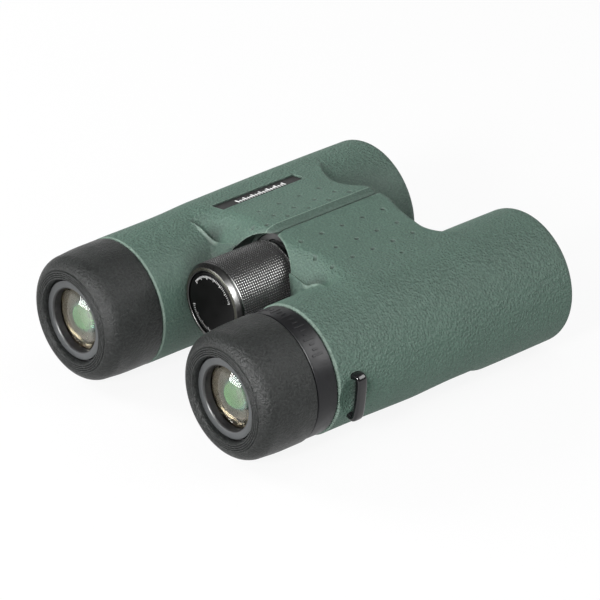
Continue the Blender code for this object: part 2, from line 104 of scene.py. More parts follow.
# Eyecup rubber, and the fine rings cut in its rear face.
EYECUP_RADIUS = 22.8
EYECUP_FILLET = 5.8
EYECUP_OPENING = 14.8
EYECUP_BORE = 20.6
EYECUP_RIM = 0.02
EYECUP_DRAFT = 0.5
RING_START = EYECUP_OPENING + 0.7
RING_PITCH = 0.72
RING_COUNT = 4
RING_DEPTH = 0.34

# Turned parts of a barrel, as profiles of (radius, station).
EYECUP_CORE = ((18.9, 3.0), (20.3, 3.0), (20.3, 21.6), (18.9, 21.6))
CLICK_SLEEVE = ((17.3, 6.0), (18.6, 6.0), (18.6, 21.0), (17.3, 21.0))
OCULAR_TUBE = ((14.4, 3.4), (17.0, 3.4), (17.0, 22.4), (18.3, 22.4), (18.3, 37.0), (14.4, 37.0))
OCULAR_RING = ((11.6, 1.8), (14.1, 1.8), (14.1, 4.9), (11.2, 4.9), (11.2, 2.3))
OCULAR_RING_FACE = 11.75
EYE_LENS_CURVE = 20.0
EYE_LENS = tuple(
    (r, 2.0 + EYE_LENS_CURVE - math.sqrt(EYE_LENS_CURVE ** 2 - r * r)) for r in np.linspace(0.0, 11.0, 23)
) + ((13.8, 5.5), (13.8, 6.0), (11.0, 6.0), (0.0, 5.9))
LENS_SEAT = (
    (11.4, 6.15), (13.8, 6.3), (13.8, 11.0), (7.0, 11.6), (5.4, 8.0), (5.3, 7.1), (6.4, 7.2), (8.0, 7.1),
    (9.6, 6.75), (10.8, 6.35),
)
INNER_LENS = (
    (0.0, 6.0), (2.0, 6.05), (3.9, 6.2), (4.1, 6.32), (4.5, 6.4), (5.0, 6.7), (5.1, 7.1), (5.1, 9.0),
    (0.0, 9.0),
)
FIELD_CELL = ((12.9, 12.2), (14.1, 12.2), (14.1, 21.0), (7.2, 21.0), (7.2, 16.8))
FIELD_LENS = ((0.0, 16.2), (3.6, 16.4), (6.9, 17.2), (6.9, 19.6), (0.0, 20.4))
OBJECTIVE_CELL = ((16.9, 114.0), (18.3, 114.0), (18.3, 131.0), (16.9, 131.0))
OBJECTIVE_LENS = (
    (0.0, 125.0), (16.6, 123.6), (16.6, 127.2), (14.0, 128.05), (11.0, 128.85), (8.0, 129.4),
    (5.0, 129.77), (2.5, 129.94), (0.0, 130.0),
)
OBJECTIVE_RING = ((16.2, 131.3), (18.3, 131.3), (18.3, 133.0), (16.6, 133.0))

# Each part's name, profile, body (field is where the field lens sits), slot and material.
BARREL_PARTS = (
    ("eyecup_core", EYECUP_CORE, "eyecup", "dark_plastic", "dark_plastic"),
    ("click_sleeve", CLICK_SLEEVE, "twist_sleeve", "satin_metal", "dark_plastic"),
    ("ocular_tube", OCULAR_TUBE, "half", "dark_plastic", "dark_plastic"),
    ("ocular_ring", OCULAR_RING, "half", "dark_plastic", "satin_ring"),
    ("eye_lens", EYE_LENS, "half", "coated_glass", "coated_eye_glass"),
    ("field_cell", FIELD_CELL, "field", "dark_plastic", "dark_plastic"),
    ("field_lens", FIELD_LENS, "field", "coated_glass", "green_coating"),
    ("lens_seat", LENS_SEAT, "half", "dark_plastic", "olive_bowl"),
    ("inner_lens", INNER_LENS, "half", "coated_glass", "green_coating"),
    ("objective_cell", OBJECTIVE_CELL, "half", "black_anodised", "dark_plastic"),
    ("objective_lens", OBJECTIVE_LENS, "half", "coated_glass", "coated_front_glass"),
    ("objective_ring", OBJECTIVE_RING, "half", "black_anodised", "dark_plastic"),
)

# Dioptre ring and its raised ticks. Long and short ticks are given by radii and stations.
DIOPTER_RING = ((18.6, 22.6), (22.1, 22.6), (22.4, 22.9), (22.4, 30.6), (22.1, 30.9), (18.6, 30.9))
DIOPTER_TICKS = {
    "first": 38.0, "step": 5.0, "count": 17, "every": 3, "half_width": 0.36,
    "long": ((22.2, 22.62), (24.6, 28.8)), "short": ((22.2, 22.62), (25.7, 27.7)),
}

# Knob: stations along the hinge and radii about its axis. A knurl's wave is (share, height).
KNOB_RADIUS = 14.6
KNOB_RECESS = 16.9
KNURL_DEPTH = 0.38
KNURL_SPAN = (32.4, 56.1)
KNURLS_ALONG = 25
KNURLS_AROUND = 100
KNURL_WAVE = ((0.0, 0.0), (0.17, 0.1), (0.33, 0.95), (0.5, 1.0), (0.67, 0.95), (0.83, 0.1))
SLEEVE_BACK = ((2.6, 32.2), (13.9, 31.9), (14.2, 32.1), (14.2, 32.4))
SLEEVE_FRONT = (
    (KNOB_RADIUS - KNURL_DEPTH, 56.1), (14.5, 56.25), (14.5, 56.7), (14.2, 57.0), (7.4, 57.0), (7.4, 41.0),
    (2.6, 41.0),
)
KNOB_BEZEL = ((12.0, 29.5), (12.3, 29.3), (13.4, 29.6), (14.6, 30.95), (14.6, 31.6), (12.0, 31.6))
BEZEL_BAND = (12.35, 13.25)
BEZEL_FACE = 30.0
KNOB_CAP = ((0.0, 29.65), (9.0, 29.7), (11.3, 29.72), (11.7, 30.0), (11.7, 31.6), (0.0, 31.6))
CAP_TICKS = {
    "step": 4.0, "count": 31, "every": 5, "half_width": 0.11,
    "long": ((9.15, 10.4), (29.62, 29.8)), "short": ((9.65, 10.4), (29.62, 29.8)),
}
CAP_TICK_STARTS = (22.0, 196.0)

# Hinge, its cover, and the knuckles and arms of each half's chassis.
SHELL_OUTER = 15.4
SHELL_INNER = 13.4
SHELL_SPAN = (61.0, 103.2)
SHELL_ANGLES = (-50.0, 158.0)
HINGE_CUT = (10.0, 142.0)
HINGE_WASHER = ((7.3, 59.4), (12.9, 59.4), (12.9, 60.6), (7.3, 60.6))
HINGE_FRONT_CAP = (
    (0.0, 103.6), (15.0, 103.6), (15.4, 104.0), (15.4, 105.0), (15.0, 105.4), (7.4, 105.4),
    (7.0, 105.8), (6.6, 106.6), (6.0, 106.8), (0.0, 106.8),
)
KNUCKLE_RADII = (7.3, 12.9)
KNUCKLES = {"left": ((62.5, 73.0), (91.5, 102.0)), "right": ((73.5, 91.0),)}
ARM_START = 8.5
ARM_OVERLAP = 18.9
ARM_HALF_WIDTH = 6.0

# The armour's outline, repeated from the part.
TOP_TANGENT = {"left": 82.6, "right": 85.0}
UNDER_TANGENT = 215.0
SEAM_SOFTNESS = 110.0
SEAM_CHAMFER = (112.6, 41.0)
SEAM_HALF_GAP = 0.2
BRIDGE_RISE = {"shoulder": (50.0, 61.5), "arch": (47.5, 58.0)}
SHOULDER_TO_ARCH = (125.0, 143.0)
BRIDGE_FADE = 35.0
BODY_PROFILE = (
    (22.0, 22.9), (46.0, 23.0), (57.0, 23.3), (75.0, 23.7),
    (95.0, 24.0), (110.0, BARREL_RADIUS), (LENGTH, 24.0),
)
FRONT_SWEEP = {
    "left": (
        (0.0, 104.4), (5.0, 103.6), (9.0, 101.9), (14.0, 100.6), (19.0, 100.9),
        (25.0, 102.8), (31.0, 106.0), (36.0, 109.0), (42.0, 112.0),
    ),
    "right": (
        (0.0, 105.4), (4.0, 105.0), (10.0, 103.2), (16.0, 101.8), (22.0, 100.8),
        (28.0, 100.4), (32.0, 101.8), (36.0, 105.0), (42.0, 111.0),
    ),
}
FRONT_WALL = ((-1.6, 1.0), (-0.5, 0.99), (0.2, 0.94), (1.2, 0.5), (2.4, 0.1), (4.0, 0.0))
FRONT_BLEND = ((98.5, 0.0), (103.4, 1.0), (110.0, 1.0), (126.0, 0.0))
BRIDGE_FRONT = 105.0

# The armour's smaller shapes. Spans of two numbers are where a shape fades in or out.
SCOOP_ANGLE = 285.0
SCOOP_REACH = 45.0
SCOOP_DEPTH = 1.6
SCOOP_START = (68.0, 90.0)
SCOOP_END = (97.0, 103.0)
HOLLOW_DEPTH = 2.15
HOLLOW_TOP = (96.0, 112.0)
HOLLOW_INNER = (150.0, 165.0)
HOLLOW_LENGTH = 10.5
CREASE_STATION = 50.5
CREASE_ANGLE = 111.0
CREASE_SLANT = 1.3 / 28.0
CREASE_WALL = 0.9
LIP_HEIGHT = 0.8
LIP_PLACE = -0.35
LIP_WIDTH = 0.42
ARCH_ROUND = {"left": 1.2, "right": 0.6}
ARCH_ROUND_DEPTH = 0.4
ARCH_END = (56.5, 58.3)
ARCH_TOP = (96.0, 110.0)
PARTING_ANGLE = 181.0
PARTING_END = 50.0
PARTING_DEPTH = 0.14
PARTING_WALL = (0.05, 0.3)

# Rows of pits in the bridge: (distance from the seam, first station, pitch, count).
PIT_ROWS = {
    "left": ((5.2, 59.3, 9.2, 5), (9.8, 56.8, 9.15, 5), (17.4, 56.8, 9.05, 5)),
    "right": ((10.0, 61.2, 9.15, 5), (20.0, 58.8, 9.15, 5), (28.5, 59.0, 8.95, 5), (36.3, 82.9, 9.0, 1)),
}
PIT_RADIUS = 0.92
PIT_DEPTH = 0.9
PIT_ANGLES = (70.0, 150.0)

# Recess of the name strip on the left barrel, the strip in it, and the ticks on the strip.
PLATE_SPAN = (60.4, 97.3)
PLATE_ACROSS = (6.5, 13.5)
PLATE_ANGLES = (84.0, 150.0)
PLATE_WALL = 0.28
PLATE_FLOOR = 22.3
STRIP_GAP = 0.12
STRIP_HEIGHTS = (PLATE_FLOOR + 0.2, PLATE_FLOOR + 1.2)
STRIP_TICKS = 19
STRIP_TICK_START = PLATE_SPAN[0] + 8.6
STRIP_TICK_PITCH = 1.15
STRIP_TICK_WIDTH = 0.55
STRIP_TICK_FOOT = 11.4
LONG_STRIP_TICK = 2.6
SHORT_STRIP_TICK = 1.5
STRIP_TICK_HEIGHTS = (PLATE_FLOOR + 1.1, PLATE_FLOOR + 1.32)

# Strap lug and its pocket.
LUG_STATION = 38.5
LUG_WIDTH = 4.0
LUG_THICKNESS = 2.2
LUG_ANGLES = (-29.5, 9.6)
LUG_RADIUS = 25.5
LUG_FOOT = 20.9
LUG_BEND = 23.0
LUG_HOLE_DEPTH = 2.0
LUG_HOLE_GAP = 0.12
POCKET_ANGLE = -7.0
POCKET_SIZE = (3.7, 7.6, 7.4)
POCKET_CENTRE = 24.4
POCKET_STATION = 37.8
POCKET_EDGE = 0.8

# The armour's grid: its widest spacing, and closer lines as (centre, reach, spacing).
STATION_SPACING = 1.4
ANGLE_SPACING = 2.6
MIN_SPACING = 0.05
PIT_LINES = {"stations": 0.16, "angles": 0.22}
PLATE_LINES = {"stations": (0.42, 0.09), "angles": (1.1, 0.22)}
PLATE_HEIGHT = 23.7
STATION_CLUSTERS = ((54.5, 6.0, 0.32), (POCKET_STATION, 8.6, 0.42), (106.3, 4.2, 0.3))
BROAD_ANGLES = ((127.0, 29.0, 0.8), (POCKET_ANGLE + 360.0, 19.0, 1.3))
SEAM_ANGLES = ((142.3, 1.0, 0.2), (145.4, 1.2, 0.2), (PARTING_ANGLE, 0.9, 0.15))

# The armour's colours, and where wear, painted highlights and painted shade go. Distances are
# in mm: across from the middle plane, along from the eyecups' rims, and up from a barrel's axis.
# A shadow's size is the width of the gaps that it fills.
GREEN = (0.064, 0.120, 0.092)
GREEN_LIGHT = (0.125, 0.21, 0.165)
# Pale green of the worn edges and of the painted highlights.
GREEN_HIGHLIGHT_AND_WEAR = (0.27, 0.37, 0.31)
GRAIN_ON_BRIDGE = 0.35
BRIDGE_TO_BARREL = (24.0, 36.0)
INNER_SIDE = (26.0, 36.0)
PIT_SHADOW = 1.4
HOLLOW_SHADOW = 6.0
# Places of the painted highlights: the rear rim, the crest beside the knob and the seam's edges.
RIM_PLACE = 0.35
CREST_LEAN = 0.14
CREST_PLACE = 54.5
CREST_ACROSS = (27.0, 3.4, 1.8)
CREST_HEIGHT = (8.0, 12.0)
SEAM_HIGHLIGHT = {"left": 3.2, "right": 0.45}
# Where the painted shade on the left half's chamfer by the seam fades out, across from the middle.
CHAMFER_SHADE_EDGE = (2.9, 3.1)
# Painted shade in the knob's hollow and the lug's pocket, as a place (across, along, up) in mm,
# two radii and an amount.
HOLLOW_PAINTED_SHADE = ((27.5, 54.6, BARREL_RADIUS + 17.0), 1.0, 6.0, 0.85)
POCKET_PAINTED_SHADE = ((63.5, 39.8, BARREL_RADIUS - 3.2), 3.0, 7.0, 0.5)

# Plain finishes: colour, roughness, grain size and bump depth in mm, metallic, other settings.
FINISHES = {
    "black_rubber": (
        (0.012, 0.013, 0.0125), 0.42, 0.8, 0.5, 0.0,
        {"worn": 3.4, "variation": 0.4, "speckle": 0.9, "gloss": 0.2},
    ),
    "black_gloss": ((0.006, 0.006, 0.007), 0.16, 0.6, 0.006, 0.0, {"worn": 3.0, "wear": 0.3}),
    "ring_black": (
        (0.004, 0.004, 0.005), 0.4, 0.7, 0.05, 0.0,
        {"worn": 3.0, "wear": 0.3, "variation": 0.3, "gloss": 0.3},
    ),
    "dark_plastic": ((0.012, 0.012, 0.012), 0.42, 0.4, 0.012, 0.0, {"worn": 2.5}),
    "satin_ring": ((0.075, 0.081, 0.084), 0.42, 0.3, 0.006, 0.0, {"worn": 1.5, "wear": 0.4}),
    # Near-black: painted shade in the knob's knurl grooves, and the name strip's own colour.
    "groove_shade_and_strip_black": ((0.004, 0.004, 0.004), 0.6, 0.5, 0.002, 0.0, {"worn": 1.5, "wear": 0.2}),
    "black_anodised": (
        (0.3, 0.3, 0.295), 0.26, 0.5, 0.002, 1.0, {"worn": 1.5, "wear": 0.3, "variation": 0.05},
    ),
    "satin_metal": (
        (0.055, 0.055, 0.054), 0.32, 0.6, 0.001, 1.0, {"worn": 1.2, "wear": 0.2, "variation": 0.04},
    ),
    "cap_black": ((0.0025, 0.0025, 0.0025), 0.34, 0.5, 0.002, 0.0, {"worn": 2.0, "wear": 0.2, "gloss": 0.12}),
    "olive_band": ((0.035, 0.035, 0.026), 0.3, 0.5, 0.003, 0.6, {"worn": 2.0}),
    "cast_alloy": ((0.10, 0.10, 0.10), 0.5, 0.5, 0.03, 0.8, {"worn": 2.0}),
    "ground_steel": ((0.45, 0.45, 0.46), 0.25, 0.3, 0.004, 1.0, {"worn": 1.3}),
    "turned_brass": ((0.55, 0.38, 0.14), 0.28, 0.3, 0.004, 1.0, {"worn": 1.3}),
    "pale_mark": ((0.85, 0.86, 0.85), 0.5, 0.3, 0.004, 0.0, {"worn": 0.8, "wear": 0.3}),
}
# Glasses: tint and index. Coatings: inner and outer colour, radii, roughness and metallic.
GLASSES = {"coated_eye_glass": ((0.95, 0.96, 0.92), 1.33), "coated_front_glass": ((0.86, 0.93, 0.90), 1.45)}
COATINGS = {
    "olive_bowl": ((0.055, 0.047, 0.028), (0.09, 0.072, 0.05), 6.0, 11.0, 0.22, 0.75),
    "green_coating": ((0.045, 0.12, 0.03), (0.02, 0.085, 0.065), 3.9, 4.6, 0.2, 0.2),
}
# CAD nodes deep inside that keep their shape and get a better material.
HINGE_LOOKS = {"hinge_tube": "ground_steel", "focus_nut": "turned_brass", "focus_shaft": "ground_steel"}
BARREL_LOOKS = {"prism_cage": "cast_alloy", "focus_cell": "cast_alloy"}
INNER_GLASSES = ("half_prism", "roof_prism", "focus_lens", "objective_inner_lens")
BARREL_LOOKS |= dict.fromkeys(INNER_GLASSES, "coated_front_glass")

# Studio, in metres and watts.
FLOOR_HALF = 6.0
FLOOR_GAP = 0.0002
FLOOR_TONES = ((0.048, 0.048, 0.048), (0.053, 0.053, 0.053))
FLOOR_GLOW = 0.89
WORLD_LIGHT = 0.22
LAMP_TARGET = Vector((0.0, 0.0, 0.03))
# Softboxes: name, direction, distance, size, power, whether they light the surfaces, and
# whether they show as reflections in gloss and glass.
LAMPS = (
    ("key_softbox", (-0.82, -0.38, 0.50), 0.85, (0.36, 0.36), 7.4, True, False),
    ("top_softbox", (0.10, 0.20, 1.00), 0.95, (0.50, 0.50), 2.2, True, False),
    ("far_softbox", (-0.78, 0.58, 0.26), 1.3, (0.90, 0.40), 1.3, False, True),
    ("knob_softbox", (0.55, 0.58, 0.62), 1.3, (1.00, 0.80), 17.0, False, True),
    ("fillet_glint", (0.37, -0.81, 0.45), 0.95, (0.20, 0.20), 24.0, False, True),
    ("camera_fill", (0.40, -0.80, 0.45), 0.95, (0.32, 0.32), 1.5, True, False),
    ("side_fill", (0.80, -0.55, 0.24), 0.85, (0.32, 0.26), 4.4, True, False),
    ("window_glint", (-0.40, -0.90, 0.12), 1.5, (0.80, 0.34), 20.0, False, True),
)
# Camera: azimuth, elevation and roll in degrees, and how far the view's centre is off the aim.
CAMERA_ANGLES = (50.20, 26.12, -2.00)
CAMERA_DISTANCE = 1.5606
CAMERA_LENS = 276.04
CAMERA_AIM = 0.060
CAMERA_SHIFT = (0.0062, 0.00159)


# Shape helpers, which take single numbers or arrays.

def smooth_step(start, end, position):
    share = np.clip((np.asarray(position, float) - start) / (end - start), 0.0, 1.0)
    return share * share * (3.0 - 2.0 * share)


def hump(rise, fall, position):
    """Rises from 0 to 1 over one span and falls back to 0 over another."""
    return smooth_step(*rise, position) * (1.0 - smooth_step(*fall, position))


def window(position, first, last, edge):
    """1 between first and last, falling to 0 over an edge inside each of them."""
    return hump((first, first + edge), (last - edge, last), position)


def turned_from(angle, centre):
    """The angle measured from the centre, from -180 to 180 degrees."""
    return (angle - centre + 180.0) % 360.0 - 180.0


def smooth_curve(table, position):
    """A smooth curve through the points of a table, by cubic pieces."""
    x, y = np.array(table, float).T
    slope = np.gradient(y, x)
    position = np.clip(np.asarray(position, float), x[0], x[-1])
    i = np.clip(np.searchsorted(x, position) - 1, 0, len(x) - 2)
    width = x[i + 1] - x[i]
    t = (position - x[i]) / width
    return (
        y[i] * (1 + 2 * t) * (1 - t) ** 2 + y[i + 1] * t * t * (3 - 2 * t)
        + slope[i] * width * t * (1 - t) ** 2 - slope[i + 1] * width * t * t * (1 - t)
    )


def tangent_distance(radius, angle, tangent):
    """Distance, along an angle, to the line that touches a circle at the tangent's angle."""
    cosine = np.cos(np.radians(angle - tangent))
    return np.where(cosine > 0.05, radius / np.maximum(cosine, 0.05), 1000.0)


def bridge_distance(side, radius, angle):
    """Distance from the barrel's axis to the outline of barrel and bridge."""
    seam = (BARREL_X - SEAM_HALF_GAP) / np.maximum(0.05, -np.cos(np.radians(angle)))
    lines = [tangent_distance(radius, angle, TOP_TANGENT[side])]
    lines += [tangent_distance(radius, angle, UNDER_TANGENT), seam]
    if side == "left":
        normal, height = SEAM_CHAMFER
        lines.append(tangent_distance(height + radius - BARREL_RADIUS, angle, normal))
    blended = sum(line ** -SEAM_SOFTNESS for line in lines) ** (-1.0 / SEAM_SOFTNESS)
    return np.where((angle > TOP_TANGENT[side]) & (angle < UNDER_TANGENT), blended, radius)


def front_edge(side, angle):
    """Where the bridge ends along the barrel, in the direction of angle."""
    top = TOP_TANGENT[side]
    inside = np.clip(angle, top, UNDER_TANGENT)
    distance = bridge_distance(side, np.full_like(inside, BARREL_RADIUS), inside)
    edge = smooth_curve(FRONT_SWEEP[side], BARREL_X + distance * np.cos(np.radians(inside)))
    touches = BARREL_X + BARREL_RADIUS * np.cos(np.radians((top, UNDER_TANGENT)))
    above, below = smooth_curve(FRONT_SWEEP[side], touches)
    share = smooth_step(UNDER_TANGENT, 360.0 + top, np.where(angle < top, angle + 360.0, angle))
    around = below * (1.0 - share) + above * share
    return np.where((angle >= top) & (angle <= UNDER_TANGENT), edge, around)


def thumb_scoop(angle, y):
    """Depth of the shallow rest for a thumb under the barrel."""
    around = 1.0 - smooth_step(0.0, SCOOP_REACH, np.abs(turned_from(angle, SCOOP_ANGLE)))
    return SCOOP_DEPTH * around * hump(SCOOP_START, SCOOP_END, y)


def knob_hollow(angle, y):
    """Depth of the hollow beside the knob, which starts at a crease across the barrel."""
    past = y - CREASE_STATION - CREASE_SLANT * (angle - CREASE_ANGLE)
    along = hump((0.0, CREASE_WALL), (CREASE_WALL, HOLLOW_LENGTH), past)
    lip = np.exp(-((past - LIP_PLACE) / LIP_WIDTH) ** 2)
    return hump(HOLLOW_TOP, HOLLOW_INNER, angle) * (HOLLOW_DEPTH * along - LIP_HEIGHT * lip)


def bridge_height(angle, y):
    """How far an outline has risen from the barrel's, 0, to the whole bridge's, 1."""
    share = smooth_step(*SHOULDER_TO_ARCH, angle)
    shoulder, arch = BRIDGE_RISE["shoulder"], BRIDGE_RISE["arch"]
    start = shoulder[0] * (1.0 - share) + arch[0] * share
    end = shoulder[1] * (1.0 - share) + arch[1] * share
    return smooth_step(0.0, 1.0, (y - start) / (end - start))


def bridge_share(side, angle):
    """The part of the bridge's rise at an angle: 1 on the bridge, and 0 on the barrel's outer side."""
    top, under = TOP_TANGENT[side], UNDER_TANGENT
    return hump((top - BRIDGE_FADE, top), (under, under + BRIDGE_FADE), angle)


def pit_depth(side, from_seam, y, angle):
    """Depth of the small round pits in the bridge's top."""
    depth = np.zeros_like(y)
    for across, first, pitch, count in PIT_ROWS[side]:
        for i in range(count):
            away = np.hypot(from_seam - across, y - first - i * pitch)
            depth += PIT_DEPTH * (1.0 - smooth_step(0.5, 1.0, away / PIT_RADIUS))
    return np.where((angle > PIT_ANGLES[0]) & (angle < PIT_ANGLES[1]), depth, 0.0)


def plate_cut(distance, angle, y):
    """Depth of the name strip's recess, with a flat floor and steep walls."""
    turn = np.radians(np.clip(angle, *PLATE_ANGLES) - TOP_TANGENT["left"])
    across = distance * np.sin(turn)
    inside = window(across, *PLATE_ACROSS, PLATE_WALL) * window(y, *PLATE_SPAN, PLATE_WALL)
    return inside * (distance - PLATE_FLOOR / np.cos(turn))


def pocket_cut(distance, angle, y):
    """Depth of the scooped pocket behind the strap lug."""
    deep, along, around = POCKET_SIZE
    aside = np.radians(turned_from(angle, POCKET_ANGLE)) * POCKET_CENTRE
    part = (y - POCKET_STATION) ** 2 / along ** 2 + aside ** 2 / around ** 2
    floor = POCKET_CENTRE - deep * np.sqrt(np.maximum(0.0, 1.0 - part))
    depth = np.maximum(0.0, distance - floor)
    return np.where(part < 1.0, depth * smooth_step(0.0, POCKET_EDGE, depth), 0.0)


def arch_rounding(side, distance, angle, y):
    """Lowers the lip where the armour ends over the knob, so that its edge is rounded."""
    turn = np.radians(angle)
    x = BARREL_X + distance * np.cos(turn)
    z = distance * np.sin(turn) - HINGE_HEIGHT
    near = np.clip((np.hypot(x, z) - KNOB_RECESS) / ARCH_ROUND[side], 0.0, 1.0)
    reach = (1.0 - smooth_step(*ARCH_END, y)) * smooth_step(*ARCH_TOP, angle)
    return ARCH_ROUND[side] * ARCH_ROUND_DEPTH * (1.0 - near) ** 2 * reach


def parting_line(angle, y):
    """The mould's parting line, a hairline groove on the barrel's inner side behind the bridge."""
    away = np.radians(np.abs(turned_from(angle, PARTING_ANGLE))) * BARREL_RADIUS
    return PARTING_DEPTH * (1.0 - smooth_step(*PARTING_WALL, away)) * (y < PARTING_END)


# Building meshes.

def grid_lines(first, last, spacing, clusters):
    """Lines from first to last: spaced evenly, and closer round each (centre, reach, spacing)."""
    lines = set(np.linspace(first, last, max(2, round((last - first) / spacing) + 1)))
    for centre, reach, close in clusters:
        lines = {x for x in lines if abs(x - centre) > reach or x in (first, last)}
        count = max(2, round(2 * reach / close))
        lines |= {centre - reach + 2 * reach * i / count for i in range(count + 1)}
    ordered = sorted(x for x in lines if first <= x <= last)
    kept = ordered[:1]
    for x in ordered[1:]:
        if x - kept[-1] > MIN_SPACING:
            kept.append(x)
    return np.array(kept)


def armour_stations(side):
    """Stations of the armour's rings from its rear edge to the start of the front fillet."""
    clusters = list(STATION_CLUSTERS)
    for _, first, pitch, count in PIT_ROWS[side]:
        clusters += [(first + i * pitch, PIT_RADIUS, PIT_LINES["stations"]) for i in range(count)]
    if side == "left":
        clusters += [(y, *PLATE_LINES["stations"]) for y in PLATE_SPAN]
    return grid_lines(BODY_START[side] + REAR_ROUND, LENGTH - FRONT_FILLET, STATION_SPACING, clusters)


def armour_angles(side):
    """Directions of the armour's grid, in degrees from its outer side over the top."""
    top = TOP_TANGENT[side]
    clusters = list(BROAD_ANGLES)
    for across, *_ in PIT_ROWS[side]:
        run = BARREL_X - across
        height = (BARREL_RADIUS + run * math.cos(math.radians(top))) / math.sin(math.radians(top))
        angle = math.degrees(math.atan2(height, -run))
        reach = math.degrees(PIT_RADIUS / math.hypot(run, height))
        clusters.append((angle, reach, PIT_LINES["angles"]))
    clusters += SEAM_ANGLES
    if side == "left":
        for across in PLATE_ACROSS:
            angle = top + math.degrees(math.atan2(across, PLATE_HEIGHT))
            clusters.append((angle, *PLATE_LINES["angles"]))
    return grid_lines(0.0, 360.0, ANGLE_SPACING, clusters)[:-1]


def armour_rings(side):
    """For each ring of the armour's outer skin: station, inset, share of the bridge, and sweep."""
    stations = armour_stations(side)
    turn_rear = np.radians(np.linspace(0.0, 90.0, 9)[:-1])
    turn_front = np.radians(np.linspace(0.0, 90.0, 13)[1:])
    rear = BODY_START[side] + REAR_ROUND * (1.0 - np.cos(turn_rear))
    front = LENGTH - FRONT_FILLET * (1.0 - np.sin(turn_front))
    at_rear, at_front = np.zeros_like(rear), np.zeros_like(front)
    rear_inset = REAR_ROUND * (1.0 - np.sin(turn_rear))
    front_inset = FRONT_FILLET * (1.0 - np.cos(turn_front))
    inset = np.concatenate((rear_inset, np.zeros_like(stations), front_inset))
    share = np.concatenate((at_rear, smooth_curve(FRONT_WALL, stations - BRIDGE_FRONT), at_front))
    sweep = np.concatenate((at_rear, np.interp(stations, *np.array(FRONT_BLEND).T), at_front))
    return np.concatenate((rear, stations, front)), inset[:, None], share[:, None], sweep[:, None]


def armour_skin(side, angles):
    """Distance from the barrel's axis, station and pit depth of each point of the outer skin."""
    stations, inset, share, sweep = armour_rings(side)
    y = stations[:, None] + sweep * (front_edge(side, angles) - BRIDGE_FRONT)[None, :]
    around = np.broadcast_to(angles, y.shape)
    radius = smooth_curve(BODY_PROFILE, y)
    rise = share * bridge_share(side, around) * bridge_height(around, y)
    bridge = bridge_distance(side, np.full_like(radius, BARREL_RADIUS), around)
    distance = radius + rise * (bridge - radius)
    distance = distance - inset - thumb_scoop(around, y) - knob_hollow(around, y)
    pits = pit_depth(side, BARREL_X + distance * np.cos(np.radians(around)), y, around)
    cut = pocket_cut(distance, around, y)
    cut += arch_rounding(side, distance, around, y) + parting_line(around, y)
    if side == "left":
        cut += plate_cut(distance, around, y)
    return distance - cut, y, pits


def about(axis, radius, turn, y):
    """Points of the frame at a radius, a turn in radians and a station about an axis along y."""
    x = axis.x + radius * np.cos(turn) * MM
    z = axis.z + radius * np.sin(turn) * MM
    return np.stack(np.broadcast_arrays(x, REAR + y * MM, z), axis=-1)


def about_barrel(side, distance, angle, y):
    """Points at a distance and an angle about a barrel's axis, as points of the frame."""
    turn = np.radians(angle)
    x = SIDES[side] * (BARREL_X + distance * np.cos(turn)) * MM
    z = BARREL[side].z + distance * np.sin(turn) * MM
    return np.stack(np.broadcast_arrays(x, REAR + y * MM, z), axis=-1)


def grid_faces(rows, columns, closed_rows):
    """Four-sided faces over rows of points, each row a closed ring."""
    i = np.arange(rows if closed_rows else rows - 1)[:, None]
    j = np.arange(columns)[None, :]
    after_i, after_j = (i + 1) % rows, (j + 1) % columns
    corners = (i * columns + j, i * columns + after_j, after_i * columns + after_j, after_i * columns + j)
    return np.stack(np.broadcast_arrays(*corners), axis=-1).reshape(-1, 4).tolist()


def new_object(name, points, faces, weld=False):
    """A mesh object with its normals facing out."""
    mesh = bpy.data.meshes.new(name)
    mesh.from_pydata(np.reshape(points, (-1, 3)).tolist(), [], faces)
    bm = bmesh.new()
    bm.from_mesh(mesh)
    if weld:
        bmesh.ops.remove_doubles(bm, verts=bm.verts, dist=0.001 * MM)
        stray = [edge for edge in bm.edges if not edge.link_faces]
        bmesh.ops.delete(bm, geom=stray, context="EDGES")
    bmesh.ops.recalc_face_normals(bm, faces=bm.faces)
    bm.to_mesh(mesh)
    bm.free()
    thing = bpy.data.objects.new(name, mesh)
    bpy.context.scene.collection.objects.link(thing)
    return thing


def shade_smooth(thing, angle):
    """Smooth shading, with edges sharper than the angle left crisp."""
    bm = bmesh.new()
    bm.from_mesh(thing.data)
    limit = math.radians(angle)
    for face in bm.faces:
        face.smooth = True
    for edge in bm.edges:
        edge.smooth = len(edge.link_faces) != 2 or edge.calc_face_angle(0.0) < limit
    bm.to_mesh(thing.data)
    bm.free()


def combine(thing, others, operation):
    """Cuts the others from the thing or joins them to it, and removes them."""
    for other in others:
        modifier = thing.modifiers.new("combine", "BOOLEAN")
        modifier.operation = operation
        modifier.solver = "MANIFOLD"
        modifier.object = other
    graph = bpy.context.evaluated_depsgraph_get()
    mesh = bpy.data.meshes.new_from_object(thing.evaluated_get(graph))
    thing.modifiers.clear()
    thing.data = mesh
    for other in others:
        bpy.data.objects.remove(other)


def round_edges(thing, width, segments):
    bevel = thing.modifiers.new("rounded", "BEVEL")
    bevel.width = width * MM
    bevel.segments = segments


def rounded_profile(profile, radius, steps=3):
    """The closed profile with each corner off the axis rounded."""
    points = [np.array(point, float) for point in profile]
    result = []
    for i, corner in enumerate(points):
        before = points[i - 1] - corner
        after = points[(i + 1) % len(points)] - corner
        lengths = (np.linalg.norm(before), np.linalg.norm(after))
        bend = before @ after / (lengths[0] * lengths[1])
        if corner[0] < 0.001 or bend < -0.97:
            result.append(corner)
            continue
        reach = [min(radius, 0.4 * length) for length in lengths]
        first = corner + before / lengths[0] * reach[0]
        last = corner + after / lengths[1] * reach[1]
        for t in np.linspace(0.0, 1.0, steps + 1):
            result.append((1 - t) ** 2 * first + 2 * t * (1 - t) * corner + t * t * last)
    return np.array(result)


